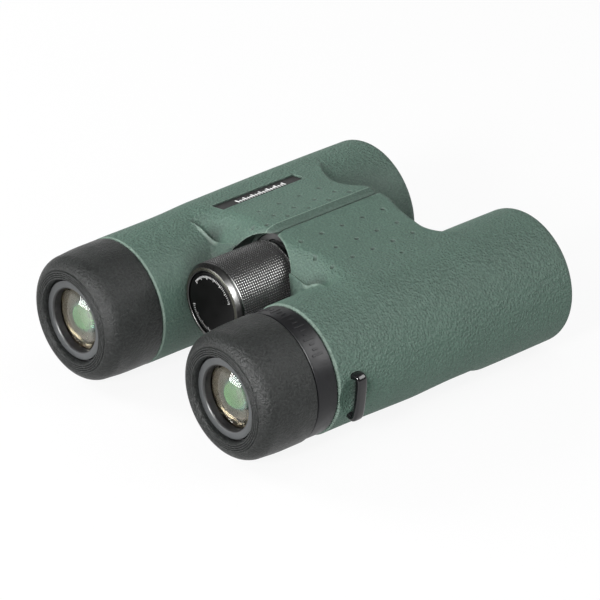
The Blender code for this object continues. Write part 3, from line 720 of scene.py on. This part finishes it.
def turned(name, profile, axis, rounding=0.2, steps=160):
    """A closed solid from a profile of (radius, station) turned about an axis along y."""
    outline = rounded_profile(profile, rounding) if rounding else np.array(profile, float)
    turn = 2.0 * math.pi * np.arange(steps) / steps
    points = about(axis, outline[:, :1], turn, outline[:, 1:])
    return new_object(name, points, grid_faces(len(outline), steps, True), weld=True)


def boxes(name, corners):
    """One mesh of many small six-sided blocks, each given by its eight corners."""
    sides = np.array(((0, 1, 3, 2), (4, 6, 7, 5), (0, 4, 5, 1), (2, 3, 7, 6), (0, 2, 6, 4), (1, 5, 7, 3)))
    faces = sides[None, :, :] + 8 * np.arange(len(corners))[:, None, None]
    return new_object(name, corners, faces.reshape(-1, 4).tolist())


def tick_arc(axis, first, step, count, every, half_width, long, short):
    """Corners of small blocks that point away from an axis, a long one at each every-th place."""
    blocks = []
    for i in range(count):
        turn = math.radians(first + step * i)
        radii, stations = short if i % every else long
        blocks.append([
            (
                axis.x + (radius * math.cos(turn) - aside * math.sin(turn)) * MM,
                REAR + y * MM,
                axis.z + (radius * math.sin(turn) + aside * math.cos(turn)) * MM,
            )
            for y in stations for aside in (-half_width, half_width) for radius in radii
        ])
    return blocks


# Materials. Object coordinates are the frame's, in metres, so a grain keeps its size.

class Nodes:
    """A material's node tree, with short calls for the nodes used here."""

    def __init__(self, name):
        self.material = bpy.data.materials.new(name)
        self.material.use_nodes = True
        self.tree = self.material.node_tree
        self.shader = self.tree.nodes["Principled BSDF"]
        self.place = self.add("ShaderNodeTexCoord").outputs["Object"]

    def add(self, kind, **settings):
        node = self.tree.nodes.new(kind)
        for key, value in settings.items():
            setattr(node, key, value)
        return node

    def link(self, source, target):
        self.tree.links.new(source, target)

    def axes(self):
        """Distance from the middle plane, and y and z of the place, in metres."""
        separate = self.add("ShaderNodeSeparateXYZ")
        self.link(self.place, separate.inputs["Vector"])
        across = self.number("ABSOLUTE", separate.outputs["X"], 0.0)
        return across, separate.outputs["Y"], separate.outputs["Z"]

    def noise(self, size, detail=3.0, roughness=0.55):
        """Noise whose features are about size mm across, from 0 to 1."""
        mapping = self.add("ShaderNodeMapping")
        mapping.inputs["Scale"].default_value = [1.0 / (size * MM)] * 3
        self.link(self.place, mapping.inputs["Vector"])
        node = self.add("ShaderNodeTexNoise")
        node.inputs["Scale"].default_value = 1.0
        node.inputs["Detail"].default_value = detail
        node.inputs["Roughness"].default_value = roughness
        self.link(mapping.outputs["Vector"], node.inputs["Vector"])
        return node.outputs["Fac"]

    def cells(self, size, smoothness=0.35):
        """Rounded pebbles about size mm across."""
        node = self.add("ShaderNodeTexVoronoi", feature="SMOOTH_F1")
        node.inputs["Scale"].default_value = 1.0 / (size * MM)
        node.inputs["Smoothness"].default_value = smoothness
        self.link(self.place, node.inputs["Vector"])
        return node.outputs["Distance"]

    def number(self, operation, first, second):
        node = self.add("ShaderNodeMath", operation=operation)
        for socket, value in zip(node.inputs, (first, second)):
            if isinstance(value, (int, float)):
                socket.default_value = value
            else:
                self.link(value, socket)
        return node.outputs["Value"]

    def spread(self, value, low, high, first=0.3, last=0.7):
        """The value's range from first to last mapped to low to high."""
        node = self.add("ShaderNodeMapRange")
        for key, number in zip(("From Min", "From Max", "To Min", "To Max"), (first, last, low, high)):
            node.inputs[key].default_value = number
        self.link(value, node.inputs["Value"])
        return node.outputs["Result"]

    def mix(self, share, first, second):
        node = self.add("ShaderNodeMix", data_type="RGBA")
        self.link(share, node.inputs["Factor"])
        for key, value in (("A", first), ("B", second)):
            socket = next(s for s in node.inputs if s.name == key and s.type == "RGBA")
            if isinstance(value, (tuple, list)):
                socket.default_value = (*value, 1.0)
            else:
                self.link(value, socket)
        return next(s for s in node.outputs if s.type == "RGBA")

    def painted_occlusion(self, reach, amount=1.0):
        """Painted shade by occlusion: grows from 0 on open surface to amount in hollows and narrow gaps."""
        occlusion = self.add("ShaderNodeAmbientOcclusion", samples=6)
        occlusion.inputs["Distance"].default_value = reach * MM
        return self.spread(occlusion.outputs["AO"], amount, 0.0, 0.15, 0.85)

    def near(self, vector, place, inside, outside, amount):
        """Grows to amount near a place in mm, from outside to inside."""
        away = self.add("ShaderNodeVectorMath", operation="DISTANCE")
        self.link(vector, away.inputs[0])
        away.inputs[1].default_value = [part * MM for part in place]
        return self.spread(away.outputs["Value"], amount, 0.0, inside * MM, outside * MM)

    def band(self, value, centre, half, soft):
        """1 where the value is within half of the centre, and 0 further off, in mm."""
        away = self.number("ABSOLUTE", self.number("SUBTRACT", value, centre * MM), 0.0)
        return self.spread(away, 1.0, 0.0, half * MM, (half + soft) * MM)

    def edges(self, radius, amount, flattest=0.985):
        """Grows from 0 on open surface to amount on worn edges, in patches."""
        bevel = self.add("ShaderNodeBevel", samples=4)
        bevel.inputs["Radius"].default_value = radius * MM
        geometry = self.add("ShaderNodeNewGeometry")
        product = self.add("ShaderNodeVectorMath", operation="DOT_PRODUCT")
        self.link(bevel.outputs["Normal"], product.inputs[0])
        self.link(geometry.outputs["Normal"], product.inputs[1])
        turned_away = self.spread(product.outputs["Value"], amount, 0.0, flattest - 0.15, flattest)
        return self.number("MULTIPLY", turned_away, self.spread(self.noise(1.6), 0.4, 1.0))

    def bump(self, height, distance, after=None):
        """A bump of a distance in mm, on top of another one if given."""
        node = self.add("ShaderNodeBump")
        node.inputs["Strength"].default_value = 1.0
        node.inputs["Distance"].default_value = distance * MM
        self.link(height, node.inputs["Height"])
        if after is not None:
            self.link(after, node.inputs["Normal"])
        return node.outputs["Normal"]

    def finish(self, **sockets):
        """Links or sets the shader's inputs, by name with _ for a space."""
        for key, value in sockets.items():
            socket = self.shader.inputs[key.replace("_", " ")]
            if isinstance(value, bpy.types.NodeSocket):
                self.link(value, socket)
            else:
                socket.default_value = value
        return self.material


def shade(colour, factor):
    return tuple(min(1.0, part * factor) for part in colour)


def moulded(
    name, colour, roughness, grain, depth, metallic,
    worn=1.6, wear=0.6, variation=0.12, speckle=0.35, gloss=0.5,
):
    """A plain finish: mottled colour, fine grain, uneven sheen and paler edges."""
    nodes = Nodes(name)
    dark, light = shade(colour, 1.0 - variation), shade(colour, 1.0 + variation)
    mottle = nodes.mix(nodes.spread(nodes.noise(9.0, 4.0), 0.0, 1.0), dark, light)
    fine = nodes.noise(grain, 3.0, 0.6)
    speckled = nodes.mix(nodes.spread(fine, 0.0, speckle), mottle, shade(colour, 1.0 + 6.0 * variation))
    rubbed = nodes.mix(nodes.edges(0.35, wear), speckled, shade(colour, worn))
    sheen = nodes.number("ADD", nodes.spread(nodes.noise(5.0), -0.06, 0.06), nodes.spread(fine, -0.04, 0.04))
    return nodes.finish(
        Base_Color=rubbed,
        Metallic=metallic,
        Roughness=nodes.number("ADD", sheen, roughness),
        Specular_IOR_Level=gloss,
        Normal=nodes.bump(fine, depth),
    )


def leather_height(nodes, creases, across):
    """Height of the leather grain, lower on the bridge than on the barrel."""
    pebbles = nodes.spread(nodes.cells(0.95), 1.0, 0.0, 0.1, 0.75)
    leather = nodes.number("ADD", nodes.number("MULTIPLY", pebbles, 0.7), creases)
    first, last = BRIDGE_TO_BARREL
    barrel = nodes.spread(across, GRAIN_ON_BRIDGE, 1.0, first * MM, last * MM)
    return nodes.number("MULTIPLY", leather, barrel)


def painted_highlights_and_wear(nodes, side, across, along, up):
    """Worn edges with a painted highlight, and painted highlights on the rear rim, the crest and the seam's
    edge.
    """
    # Painted highlights along the rear rim, the crest beside the knob and the seam's edges.
    rim = nodes.band(along, BODY_START[side] + RIM_PLACE, 0.3, 0.25)
    leaning = nodes.number("ADD", along, nodes.number("MULTIPLY", across, CREST_LEAN))
    crest = nodes.band(leaning, CREST_PLACE, 0.3, 0.5)
    crest = nodes.number("MULTIPLY", crest, nodes.band(across, *CREST_ACROSS))
    low, high = (BARREL[side].z + height * MM for height in CREST_HEIGHT)
    crest = nodes.number("MULTIPLY", crest, nodes.spread(up, 0.0, 1.0, low, high))
    seam = nodes.band(across, SEAM_HIGHLIGHT[side], 0.1, 0.2)
    # Edges paler, partly as wear and partly as a painted highlight.
    worn = nodes.edges(0.7, 0.7, 0.995)
    for mask, amount in ((rim, 0.55), (crest, 0.8), (seam, 0.45)):
        worn = nodes.number("MAXIMUM", worn, nodes.number("MULTIPLY", mask, amount))
    return worn


def shadowed_places(nodes, side, across, along, up):
    """Painted shade on the armour: gaps on its inner side, pits, hollows and the seam's chamfer."""
    first, last = INNER_SIDE
    inner = nodes.spread(across, 1.0, 0.0, first * MM, last * MM)
    # Painted shade from occlusion on the inner side near the knob, and in pits and narrow gaps.
    shadow = nodes.number("MULTIPLY", inner, nodes.painted_occlusion(HOLLOW_SHADOW))
    shadow = nodes.number("MAXIMUM", shadow, nodes.painted_occlusion(PIT_SHADOW))
    folded = nodes.add("ShaderNodeCombineXYZ")
    for socket, value in zip(folded.inputs, (across, along, up)):
        nodes.link(value, socket)
    # Painted shade in the knob's hollow and the lug's pocket.
    for painted_shade in (HOLLOW_PAINTED_SHADE, POCKET_PAINTED_SHADE):
        shadow = nodes.number("MAXIMUM", shadow, nodes.near(folded.outputs["Vector"], *painted_shade))
    if side == "left":
        # Painted shade on the chamfer down to the seam.
        first, last = CHAMFER_SHADE_EDGE
        shadow = nodes.number("MAXIMUM", shadow, nodes.spread(across, 0.3, 0.0, first * MM, last * MM))
    return shadow


def green_rubber(side):
    """Leather-grained armour, smoother on the bridge; shade painted in its hollows, highlights and wear on
    its edges.
    """
    nodes = Nodes(f"{side}_green_rubber")
    across, y, up = nodes.axes()
    along = nodes.number("SUBTRACT", y, REAR)
    creases = nodes.noise(1.6, 5.0, 0.62)
    fine = nodes.noise(0.8, 3.0, 0.6)
    base = nodes.mix(nodes.spread(nodes.noise(14.0, 4.0), 0.0, 1.0), shade(GREEN, 0.9), shade(GREEN, 1.1))
    toned = nodes.mix(nodes.spread(creases, 0.0, 0.35, 0.35, 0.65), base, shade(GREEN, 1.25))
    speckled = nodes.mix(nodes.spread(fine, 0.0, 0.62, 0.44, 0.68), toned, GREEN_LIGHT)
    # Painted highlights with wear, then painted shade, are mixed into the colour.
    rubbed = nodes.mix(painted_highlights_and_wear(nodes, side, across, along, up), speckled, GREEN_HIGHLIGHT_AND_WEAR)
    shaded = nodes.mix(shadowed_places(nodes, side, across, along, up), rubbed, shade(GREEN, 0.25))
    return nodes.finish(
        Base_Color=shaded,
        Roughness=nodes.number("ADD", nodes.spread(creases, 0.56, 0.7), nodes.spread(fine, -0.05, 0.05)),
        Specular_IOR_Level=0.4,
        Normal=nodes.bump(leather_height(nodes, creases, across), 0.45, after=nodes.bump(fine, 0.3)),
    )


def coated_glass(name, tint, index):
    """Clear glass with a faint coating colour and a few smears."""
    nodes = Nodes(name)
    smears = nodes.noise(3.0, 4.0)
    colour = nodes.mix(nodes.spread(smears, 0.0, 1.0), tint, shade(tint, 0.94))
    rough = nodes.spread(smears, 0.0, 0.02, 0.55, 0.85)
    ripple = nodes.bump(nodes.noise(9.0, 1.0), 0.0004)
    return nodes.finish(
        Base_Color=colour, Roughness=rough, Normal=ripple, Transmission_Weight=1.0, IOR=index,
    )


def ringed(name, inner, outer, start, end, roughness, metallic):
    """A polished surface that changes colour from its middle out, about a barrel's axis."""
    nodes = Nodes(name)
    across, _, up = nodes.axes()
    across = nodes.number("SUBTRACT", across, BARREL_X * MM)
    up = nodes.number("SUBTRACT", up, BARREL["right"].z)
    squares = nodes.number("ADD", nodes.number("MULTIPLY", across, across), nodes.number("MULTIPLY", up, up))
    away = nodes.number("SQRT", squares, 0.0)
    colour = nodes.mix(nodes.spread(away, 0.0, 1.0, start * MM, end * MM), inner, outer)
    haze = nodes.noise(4.0, 4.0)
    hazed = nodes.mix(nodes.spread(haze, 0.0, 0.25), colour, shade(outer, 1.6))
    rough = nodes.spread(haze, roughness * 0.7, roughness * 1.3)
    ripple = nodes.bump(nodes.noise(2.0, 2.0), 0.002)
    return nodes.finish(Base_Color=hazed, Roughness=rough, Normal=ripple, Metallic=metallic)


MATERIALS = {f"{side}_green_rubber": green_rubber(side) for side in SIDES}
MATERIALS |= {name: moulded(name, *basic, **extra) for name, (*basic, extra) in FINISHES.items()}
MATERIALS |= {name: coated_glass(name, *settings) for name, settings in GLASSES.items()}
MATERIALS |= {name: ringed(name, *settings) for name, settings in COATINGS.items()}


# Pieces.

def piece(thing, body, slot, look, *nodes):
    """Gives a new piece its material, its body and the CAD nodes that it stands for."""
    thing.data.materials.clear()
    thing.data.materials.append(MATERIALS[look])
    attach(thing, body)
    if nodes:
        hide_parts(*nodes)
    return thing


def turned_piece(name, profile, axis, body, slot, look, rounding=0.2, steps=160, smooth=36.0):
    """A turned piece, which stands for the CAD node of its name where there is one."""
    nodes = [name] if name in bpy.data.objects else []
    part = turned(f"{name}_turned", profile, axis, rounding, steps)
    shade_smooth(part, smooth)
    return piece(part, body, slot, look, *nodes)


def repaint(thing, look, axis, chosen):
    """Gives a second material to the faces that chosen(distance from the axis, station) picks."""
    thing.data.materials.append(MATERIALS[look])
    for face in thing.data.polygons:
        away = math.hypot(face.center.x - axis.x, face.center.z - axis.z) / MM
        if chosen(away, (face.center.y - REAR) / MM):
            face.material_index = 1


def hinge_cutter(side):
    """The hollow in an armour half for the knob and, further forward, the hinge's cover."""
    mouth = SHELL_SPAN[0] - 3.0 * CLEARANCE
    bore = SHELL_OUTER + CLEARANCE
    rear, front = HINGE_CUT
    profile = (
        (0.0, rear), (KNOB_RECESS, rear), (KNOB_RECESS, mouth), (bore, mouth + 0.25), (bore, front),
        (0.0, front),
    )
    return turned(f"{side}_hinge_cutter", profile, HINGE, 0.0, 192)


def armour_points(side, angles):
    """Rings of points over the armour's outer skin, round its front lip and back along its bore."""
    distance, y, pits = armour_skin(side, angles)
    start = BODY_START[side]
    bore = np.array((
        (FRONT_LIP_BORE + FRONT_LIP_CHAMFER, LENGTH), (FRONT_LIP_BORE, LENGTH - FRONT_LIP_CHAMFER),
        (FRONT_LIP_BORE, FRONT_LIP_START), (ARMOUR_BORE, FRONT_LIP_START),
        (ARMOUR_BORE, start + BORE_CHAMFER), (ARMOUR_BORE + BORE_CHAMFER, start),
    ))
    ones = np.ones((1, len(angles)))
    distance = np.concatenate((distance, bore[:, :1] * ones))
    y = np.concatenate((y, bore[:, 1:] * ones))
    points = about_barrel(side, distance, angles[None, :], y)
    top = math.radians(TOP_TANGENT[side])
    points[:len(pits), :, 0] -= SIDES[side] * pits * math.cos(top) * MM
    points[:len(pits), :, 2] -= pits * math.sin(top) * MM
    return points


def make_armour(side):
    """One half's rubber skin, with its hollow for knob and hinge and its holes for the strap lug."""
    points = armour_points(side, armour_angles(side))
    rows, columns = points.shape[:2]
    skin = new_object(f"{side}_armour_skin", points, grid_faces(rows, columns, True))
    lug_holes = lug_bar(f"{side}_lug_hole", side, LUG_FOOT - LUG_HOLE_DEPTH, LUG_HOLE_GAP)
    combine(skin, [hinge_cutter(side), lug_holes], "DIFFERENCE")
    shade_smooth(skin, 38.0)
    piece(skin, f"{side}_half", "green_rubber", f"{side}_green_rubber", f"{side}_armour")


def lug_line(foot):
    """The strap lug's centre line, rounded where it bends, as (outward, up) from the barrel's axis."""
    low, high = LUG_ANGLES
    line = [(low, foot), (low, LUG_BEND), (low + 0.5, LUG_RADIUS), (low + 7.0, LUG_RADIUS)]
    line += [(high - 7.0, LUG_RADIUS), (high - 0.5, LUG_RADIUS), (high, LUG_BEND), (high, foot)]
    turn = np.radians([angle for angle, _ in line])
    radius = np.array([radius for _, radius in line])
    points = np.stack((radius * np.cos(turn), radius * np.sin(turn)), axis=-1)
    for _ in range(4):
        quarter = points[:-1] * 0.75 + points[1:] * 0.25
        after = points[:-1] * 0.25 + points[1:] * 0.75
        between = np.stack((quarter, after), axis=1).reshape(-1, 2)
        points = np.concatenate((points[:1], between, points[-1:]))
    return points


def squared(wave):
    """A sine or cosine made fuller, so that a section drawn with it has flatter sides."""
    return np.sign(wave) * np.abs(wave) ** 0.55


def lug_bar(name, side, foot, grow):
    """A bar with a rounded section swept along the lug's line."""
    line = lug_line(foot)
    tangent = np.gradient(line, axis=0)
    tangent /= np.linalg.norm(tangent, axis=1, keepdims=True)
    outward = np.stack((tangent[:, 1], -tangent[:, 0]), axis=-1)
    turn = 2.0 * math.pi * np.arange(28) / 28
    wide = squared(np.cos(turn)) * (LUG_WIDTH / 2 + grow)
    thick = squared(np.sin(turn)) * (LUG_THICKNESS / 2 + grow)
    cross = line[:, None, :] + outward[:, None, :] * thick[None, :, None]
    x = SIDES[side] * (BARREL_X + cross[..., 0]) * MM
    y = REAR + (LUG_STATION + wide[None, :] + 0.0 * cross[..., 0]) * MM
    z = BARREL[side].z + cross[..., 1] * MM
    rows, columns = x.shape
    faces = grid_faces(rows, columns, False)
    faces += [list(range(columns)), list(range((rows - 1) * columns, rows * columns))]
    return new_object(name, np.stack((x, y, z), axis=-1), faces)


def make_lug(side):
    lug = lug_bar(f"{side}_lug_loop", side, LUG_FOOT, 0.0)
    shade_smooth(lug, 50.0)
    piece(lug, f"{side}_half", "black_gloss", "black_gloss", f"{side}_strap_lug")


def eyecup_profile():
    """The cup's outline, with fine rings cut in its rear face."""
    outline = [(EYECUP_OPENING, 1.2), (EYECUP_OPENING, 0.8), (EYECUP_OPENING + 0.35, 0.3)]
    centre = EYECUP_RADIUS - EYECUP_DRAFT - EYECUP_FILLET
    face = np.arange(EYECUP_OPENING + 0.5, centre + 1.6, 0.08)
    for radius in face:
        over = max(0.0, radius - centre)
        height = EYECUP_RIM + EYECUP_FILLET - math.sqrt(EYECUP_FILLET ** 2 - over ** 2)
        phase = (radius - RING_START) / RING_PITCH
        if 0.0 < phase < RING_COUNT:
            height += RING_DEPTH * max(0.0, math.cos(2.0 * math.pi * (phase - 0.5))) ** 1.5
        outline.append((radius, height))
    first = math.asin((face[-1] - centre) / EYECUP_FILLET)
    for turn in np.linspace(first, math.pi / 2, 18)[1:]:
        height = EYECUP_RIM + EYECUP_FILLET * (1.0 - math.cos(turn))
        outline.append((centre + EYECUP_FILLET * math.sin(turn), height))
    edge, front = EYECUP_RADIUS, EYECUP_LENGTH
    outline += [(edge - 0.1, 11.0), (edge, 14.0), (edge, front - 0.5), (edge - 0.15, front - 0.15)]
    outline += [(edge - 0.5, front), (EYECUP_BORE, front), (EYECUP_BORE, 2.7), (EYECUP_OPENING, 2.4)]
    return outline


def body_of(side, place):
    """The body that a barrel's part rides on. The right field lens moves with the dioptre setting."""
    if place != "field":
        return f"{side}_{place}"
    return "diopter_cell" if side == "right" else "left_half"


def make_barrel_parts(side):
    """The eyecup and all turned parts of one barrel."""
    axis = BARREL[side]
    cup = turned(f"{side}_eyecup_rubber", eyecup_profile(), axis, 0.0, 192)
    shade_smooth(cup, 50.0)
    piece(cup, f"{side}_eyecup", "black_rubber", "black_rubber", f"{side}_eyecup")
    for name, profile, place, slot, look in BARREL_PARTS:
        part = turned_piece(f"{side}_{name}", profile, axis, body_of(side, place), slot, look)
        if name == "ocular_ring":
            repaint(part, "dark_plastic", axis, lambda away, station: away < OCULAR_RING_FACE)


def knurl_lines(first, last, count):
    """Lines across a run of knurls, as (place, height) pairs."""
    pitch = (last - first) / count
    return np.array([
        (first + (i + share) * pitch, height) for i in range(count) for share, height in KNURL_WAVE
    ])


def knurled_sleeve():
    """The knob's sleeve, with square knurls between two plain ends."""
    around = knurl_lines(0.0, 2.0 * math.pi, KNURLS_AROUND)
    along = knurl_lines(*KNURL_SPAN, KNURLS_ALONG)
    rows = [(radius, y, 0.0) for radius, y in SLEEVE_BACK]
    rows += [(KNOB_RADIUS - KNURL_DEPTH, y, height) for y, height in along]
    rows += [(radius, y, 0.0) for radius, y in SLEEVE_FRONT]
    profile = np.array(rows)
    radius = profile[:, :1] + KNURL_DEPTH * profile[:, 2:] * around[:, 1]
    points = about(HINGE, radius, around[:, 0], profile[:, 1:2])
    return new_object("knurled_knob", points, grid_faces(len(profile), len(around), True))


def in_groove(away, station):
    return away < KNOB_RADIUS - 0.3 * KNURL_DEPTH and KNURL_SPAN[0] < station < KNURL_SPAN[1]


def on_bezel_band(away, station):
    return BEZEL_BAND[0] < away < BEZEL_BAND[1] and station < BEZEL_FACE


def make_knob():
    """The sleeve with grooves painted black as shade, the bezel with an olive band, and the cap with its
    ticks.
    """
    sleeve = knurled_sleeve()
    shade_smooth(sleeve, 30.0)
    piece(sleeve, "focus_knob", "black_anodised", "black_anodised", "focus_knob")
    # The knurls' lower faces are painted near-black, a painted shade below the lit tops.
    repaint(sleeve, "groove_shade_and_strip_black", HINGE, in_groove)
    bezel = turned_piece(
        "knob_bezel", KNOB_BEZEL, HINGE, "focus_knob", "satin_metal", "satin_metal",
        rounding=0.12, steps=192, smooth=25.0,
    )
    repaint(bezel, "olive_band", HINGE, on_bezel_band)
    turned_piece("knob_cap", KNOB_CAP, HINGE, "focus_knob", "black_gloss", "cap_black", steps=192)
    arcs = [block for start in CAP_TICK_STARTS for block in tick_arc(HINGE, start, **CAP_TICKS)]
    piece(boxes("knob_cap_ticks", arcs), "focus_knob", "satin_metal", "pale_mark")


def plate_block(across, along, height):
    """The corners of a block that lies along the left barrel, square to the plate's floor."""
    top = math.radians(TOP_TANGENT["left"])
    normal = Vector((math.cos(top), 0.0, math.sin(top)))
    sideways = Vector((-math.sin(top), 0.0, math.cos(top)))
    corners = []
    for up in height:
        for y in along:
            for t in across:
                out = normal * up + sideways * t
                corners.append((-(BARREL_X + out.x) * MM, REAR + y * MM, BARREL["left"].z + out.z * MM))
    return corners


def make_name_strip():
    """The blank strip let into the left barrel, with a short row of ticks at one end."""
    strip = boxes("name_strip", [plate_block(
        (PLATE_ACROSS[0] + STRIP_GAP, PLATE_ACROSS[1] - STRIP_GAP),
        (PLATE_SPAN[0] + STRIP_GAP, PLATE_SPAN[1] - STRIP_GAP),
        STRIP_HEIGHTS,
    )])
    round_edges(strip, 0.25, 3)
    piece(strip, "left_half", "dark_plastic", "groove_shade_and_strip_black", "name_plate")
    marks = []
    for i in range(STRIP_TICKS):
        y = STRIP_TICK_START + STRIP_TICK_PITCH * i
        length = SHORT_STRIP_TICK if i % 3 else LONG_STRIP_TICK
        across = (STRIP_TICK_FOOT - length, STRIP_TICK_FOOT)
        marks.append(plate_block(across, (y, y + STRIP_TICK_WIDTH), STRIP_TICK_HEIGHTS))
    piece(boxes("name_strip_ticks", marks), "left_half", "satin_metal", "pale_mark")


def make_diopter_ring():
    """The setting ring, with an arc of raised ticks over its top for a scale."""
    axis = BARREL["right"]
    turned_piece("diopter_ring", DIOPTER_RING, axis, "diopter_ring", "black_gloss", "ring_black", steps=224)
    ticks = boxes("diopter_ticks", tick_arc(axis, **DIOPTER_TICKS))
    round_edges(ticks, 0.12, 2)
    piece(ticks, "diopter_ring", "black_gloss", "ring_black")


def make_hinge():
    """The washer behind the hinge's knuckles and the cap on its front end."""
    turned_piece("hinge_washer", HINGE_WASHER, HINGE, "left_half", "ground_steel", "dark_plastic")
    turned_piece("hinge_front_cap", HINGE_FRONT_CAP, HINGE, "left_half", "dark_plastic", "dark_plastic")


def make_chassis(side):
    """Tube, arms and knuckles of one half, and on the right the cover round the hinge."""
    start = BODY_START[side] + CHASSIS_INSET
    tube = (
        (CHASSIS_INNER, start), (CHASSIS_OUTER, start),
        (CHASSIS_OUTER, CHASSIS_END), (CHASSIS_INNER, CHASSIS_END),
    )
    body = turned(f"{side}_chassis_turned", tube, BARREL[side])
    inner, outer = KNUCKLE_RADII
    others = []
    for i, (first, last) in enumerate(KNUCKLES[side]):
        ring = ((inner, first), (outer, first), (outer, last), (inner, last))
        others.append(turned(f"{side}_knuckle_{i}", ring, HINGE, steps=96))
        others.append(arm_block(f"{side}_arm_{i}", side, first, last))
    if side == "right":
        others.append(cover_shell())
    combine(body, others, "UNION")
    shade_smooth(body, 30.0)
    piece(body, f"{side}_half", "cast_alloy", "cast_alloy", f"{side}_chassis")


def arm_block(name, side, first, last):
    """The arm between a barrel's tube and a knuckle of the hinge."""
    direction = Vector((SIDES[side] * BARREL_X, 0.0, -HINGE_HEIGHT)).normalized()
    sideways = Vector((-direction.z, 0.0, direction.x))
    corners = []
    for along in (ARM_START, math.hypot(BARREL_X, HINGE_HEIGHT) - ARM_OVERLAP):
        for across in (-ARM_HALF_WIDTH, ARM_HALF_WIDTH):
            place = HINGE + (direction * along + sideways * across) * MM
            corners += [(place.x, REAR + y * MM, place.z) for y in (first, last)]
    return boxes(name, [corners])


def cover_shell():
    """The part of a tube that covers the hinge, with flat ends."""
    turn = np.linspace(*np.radians(SHELL_ANGLES), 97)
    circle = np.stack((np.cos(turn), np.sin(turn)), axis=-1)
    outline = np.concatenate((SHELL_OUTER * circle, SHELL_INNER * circle[::-1]))
    points = [(HINGE.x + x * MM, REAR + y * MM, HINGE.z + z * MM) for y in SHELL_SPAN for x, z in outline]
    count = len(outline)
    faces = grid_faces(2, count, False)
    for base in (0, count):
        for i in range(len(circle) - 1):
            faces.append([base + i, base + i + 1, base + count - 2 - i, base + count - 1 - i])
    return new_object("hinge_cover", points, faces)


def dress_inner_parts():
    """Better materials on the CAD nodes that stay as they are, deep inside the barrels."""
    looks = dict(HINGE_LOOKS)
    for side in SIDES:
        looks |= {f"{side}_{name}": look for name, look in BARREL_LOOKS.items()}
    for name, look in looks.items():
        for slot in bpy.data.objects[name].material_slots:
            slot.link = "OBJECT"
            slot.material = MATERIALS[look]


# Studio.

def make_floor():
    """A pale floor that is mostly its own light, so that only a faint shadow shows."""
    points = [(x * FLOOR_HALF, y * FLOOR_HALF, 0.0) for x, y in ((-1, -1), (1, -1), (1, 1), (-1, 1))]
    floor = new_object("studio_floor", points, [[0, 1, 2, 3]])
    floor.location.z = CAD_BOX[0].z - FLOOR_GAP
    nodes = Nodes("pale_floor")
    pale = nodes.mix(nodes.spread(nodes.noise(400.0), 0.0, 1.0), *FLOOR_TONES)
    material = nodes.finish(
        Base_Color=pale, Roughness=0.9, Emission_Color=(1.0, 1.0, 1.0, 1.0), Emission_Strength=FLOOR_GLOW,
    )
    floor.data.materials.append(material)
    floor.visible_diffuse = False


def area_light(name, place, size, power):
    """A soft rectangular light that faces the object."""
    data = bpy.data.lights.new(name, "AREA")
    data.shape = "RECTANGLE"
    data.size, data.size_y = size
    data.energy = power
    lamp = bpy.data.objects.new(name, data)
    lamp.location = place
    lamp.rotation_euler = (LAMP_TARGET - place).to_track_quat("-Z", "Y").to_euler()
    bpy.context.scene.collection.objects.link(lamp)
    return lamp


def make_lights():
    for name, direction, distance, size, power, diffuse, gloss in LAMPS:
        lamp = area_light(name, Vector(direction).normalized() * distance, size, power)
        lamp.visible_diffuse = diffuse
        lamp.visible_glossy = gloss
    world = bpy.data.worlds.new("studio")
    world.use_nodes = True
    background = world.node_tree.nodes["Background"]
    background.inputs["Color"].default_value = (1.0, 1.0, 1.0, 1.0)
    background.inputs["Strength"].default_value = WORLD_LIGHT
    bpy.context.scene.world = world
    bpy.context.scene.view_settings.view_transform = "Standard"


def make_camera():
    """The main view, from behind the right eyecup and above."""
    azimuth, elevation, roll = map(math.radians, CAMERA_ANGLES)
    level = Vector((math.cos(azimuth), math.sin(azimuth), 0.0))
    behind = Vector((math.sin(azimuth), -math.cos(azimuth), 0.0))
    back = behind * math.cos(elevation) + Vector((0.0, 0.0, math.sin(elevation)))
    above = back.cross(level)
    right = level * math.cos(roll) + above * math.sin(roll)
    up = above * math.cos(roll) - level * math.sin(roll)
    aim = Vector((0.0, REAR + CAMERA_AIM, BARREL["right"].z))
    place = aim + back * CAMERA_DISTANCE + right * CAMERA_SHIFT[0] + up * CAMERA_SHIFT[1]
    data = bpy.data.cameras.new("camera")
    data.sensor_width = 36.0
    data.lens = CAMERA_LENS
    data.clip_end = 100.0
    camera = bpy.data.objects.new("camera", data)
    camera.matrix_world = Matrix((
        (right.x, up.x, back.x, place.x), (right.y, up.y, back.y, place.y),
        (right.z, up.z, back.z, place.z), (0.0, 0.0, 0.0, 1.0),
    ))
    bpy.context.scene.collection.objects.link(camera)
    bpy.context.scene.camera = camera


make_camera()
for side_name in SIDES:
    make_armour(side_name)
    make_chassis(side_name)
    make_barrel_parts(side_name)
    make_lug(side_name)
make_name_strip()
make_diopter_ring()
make_knob()
make_hinge()
dress_inner_parts()
make_floor()
make_lights()
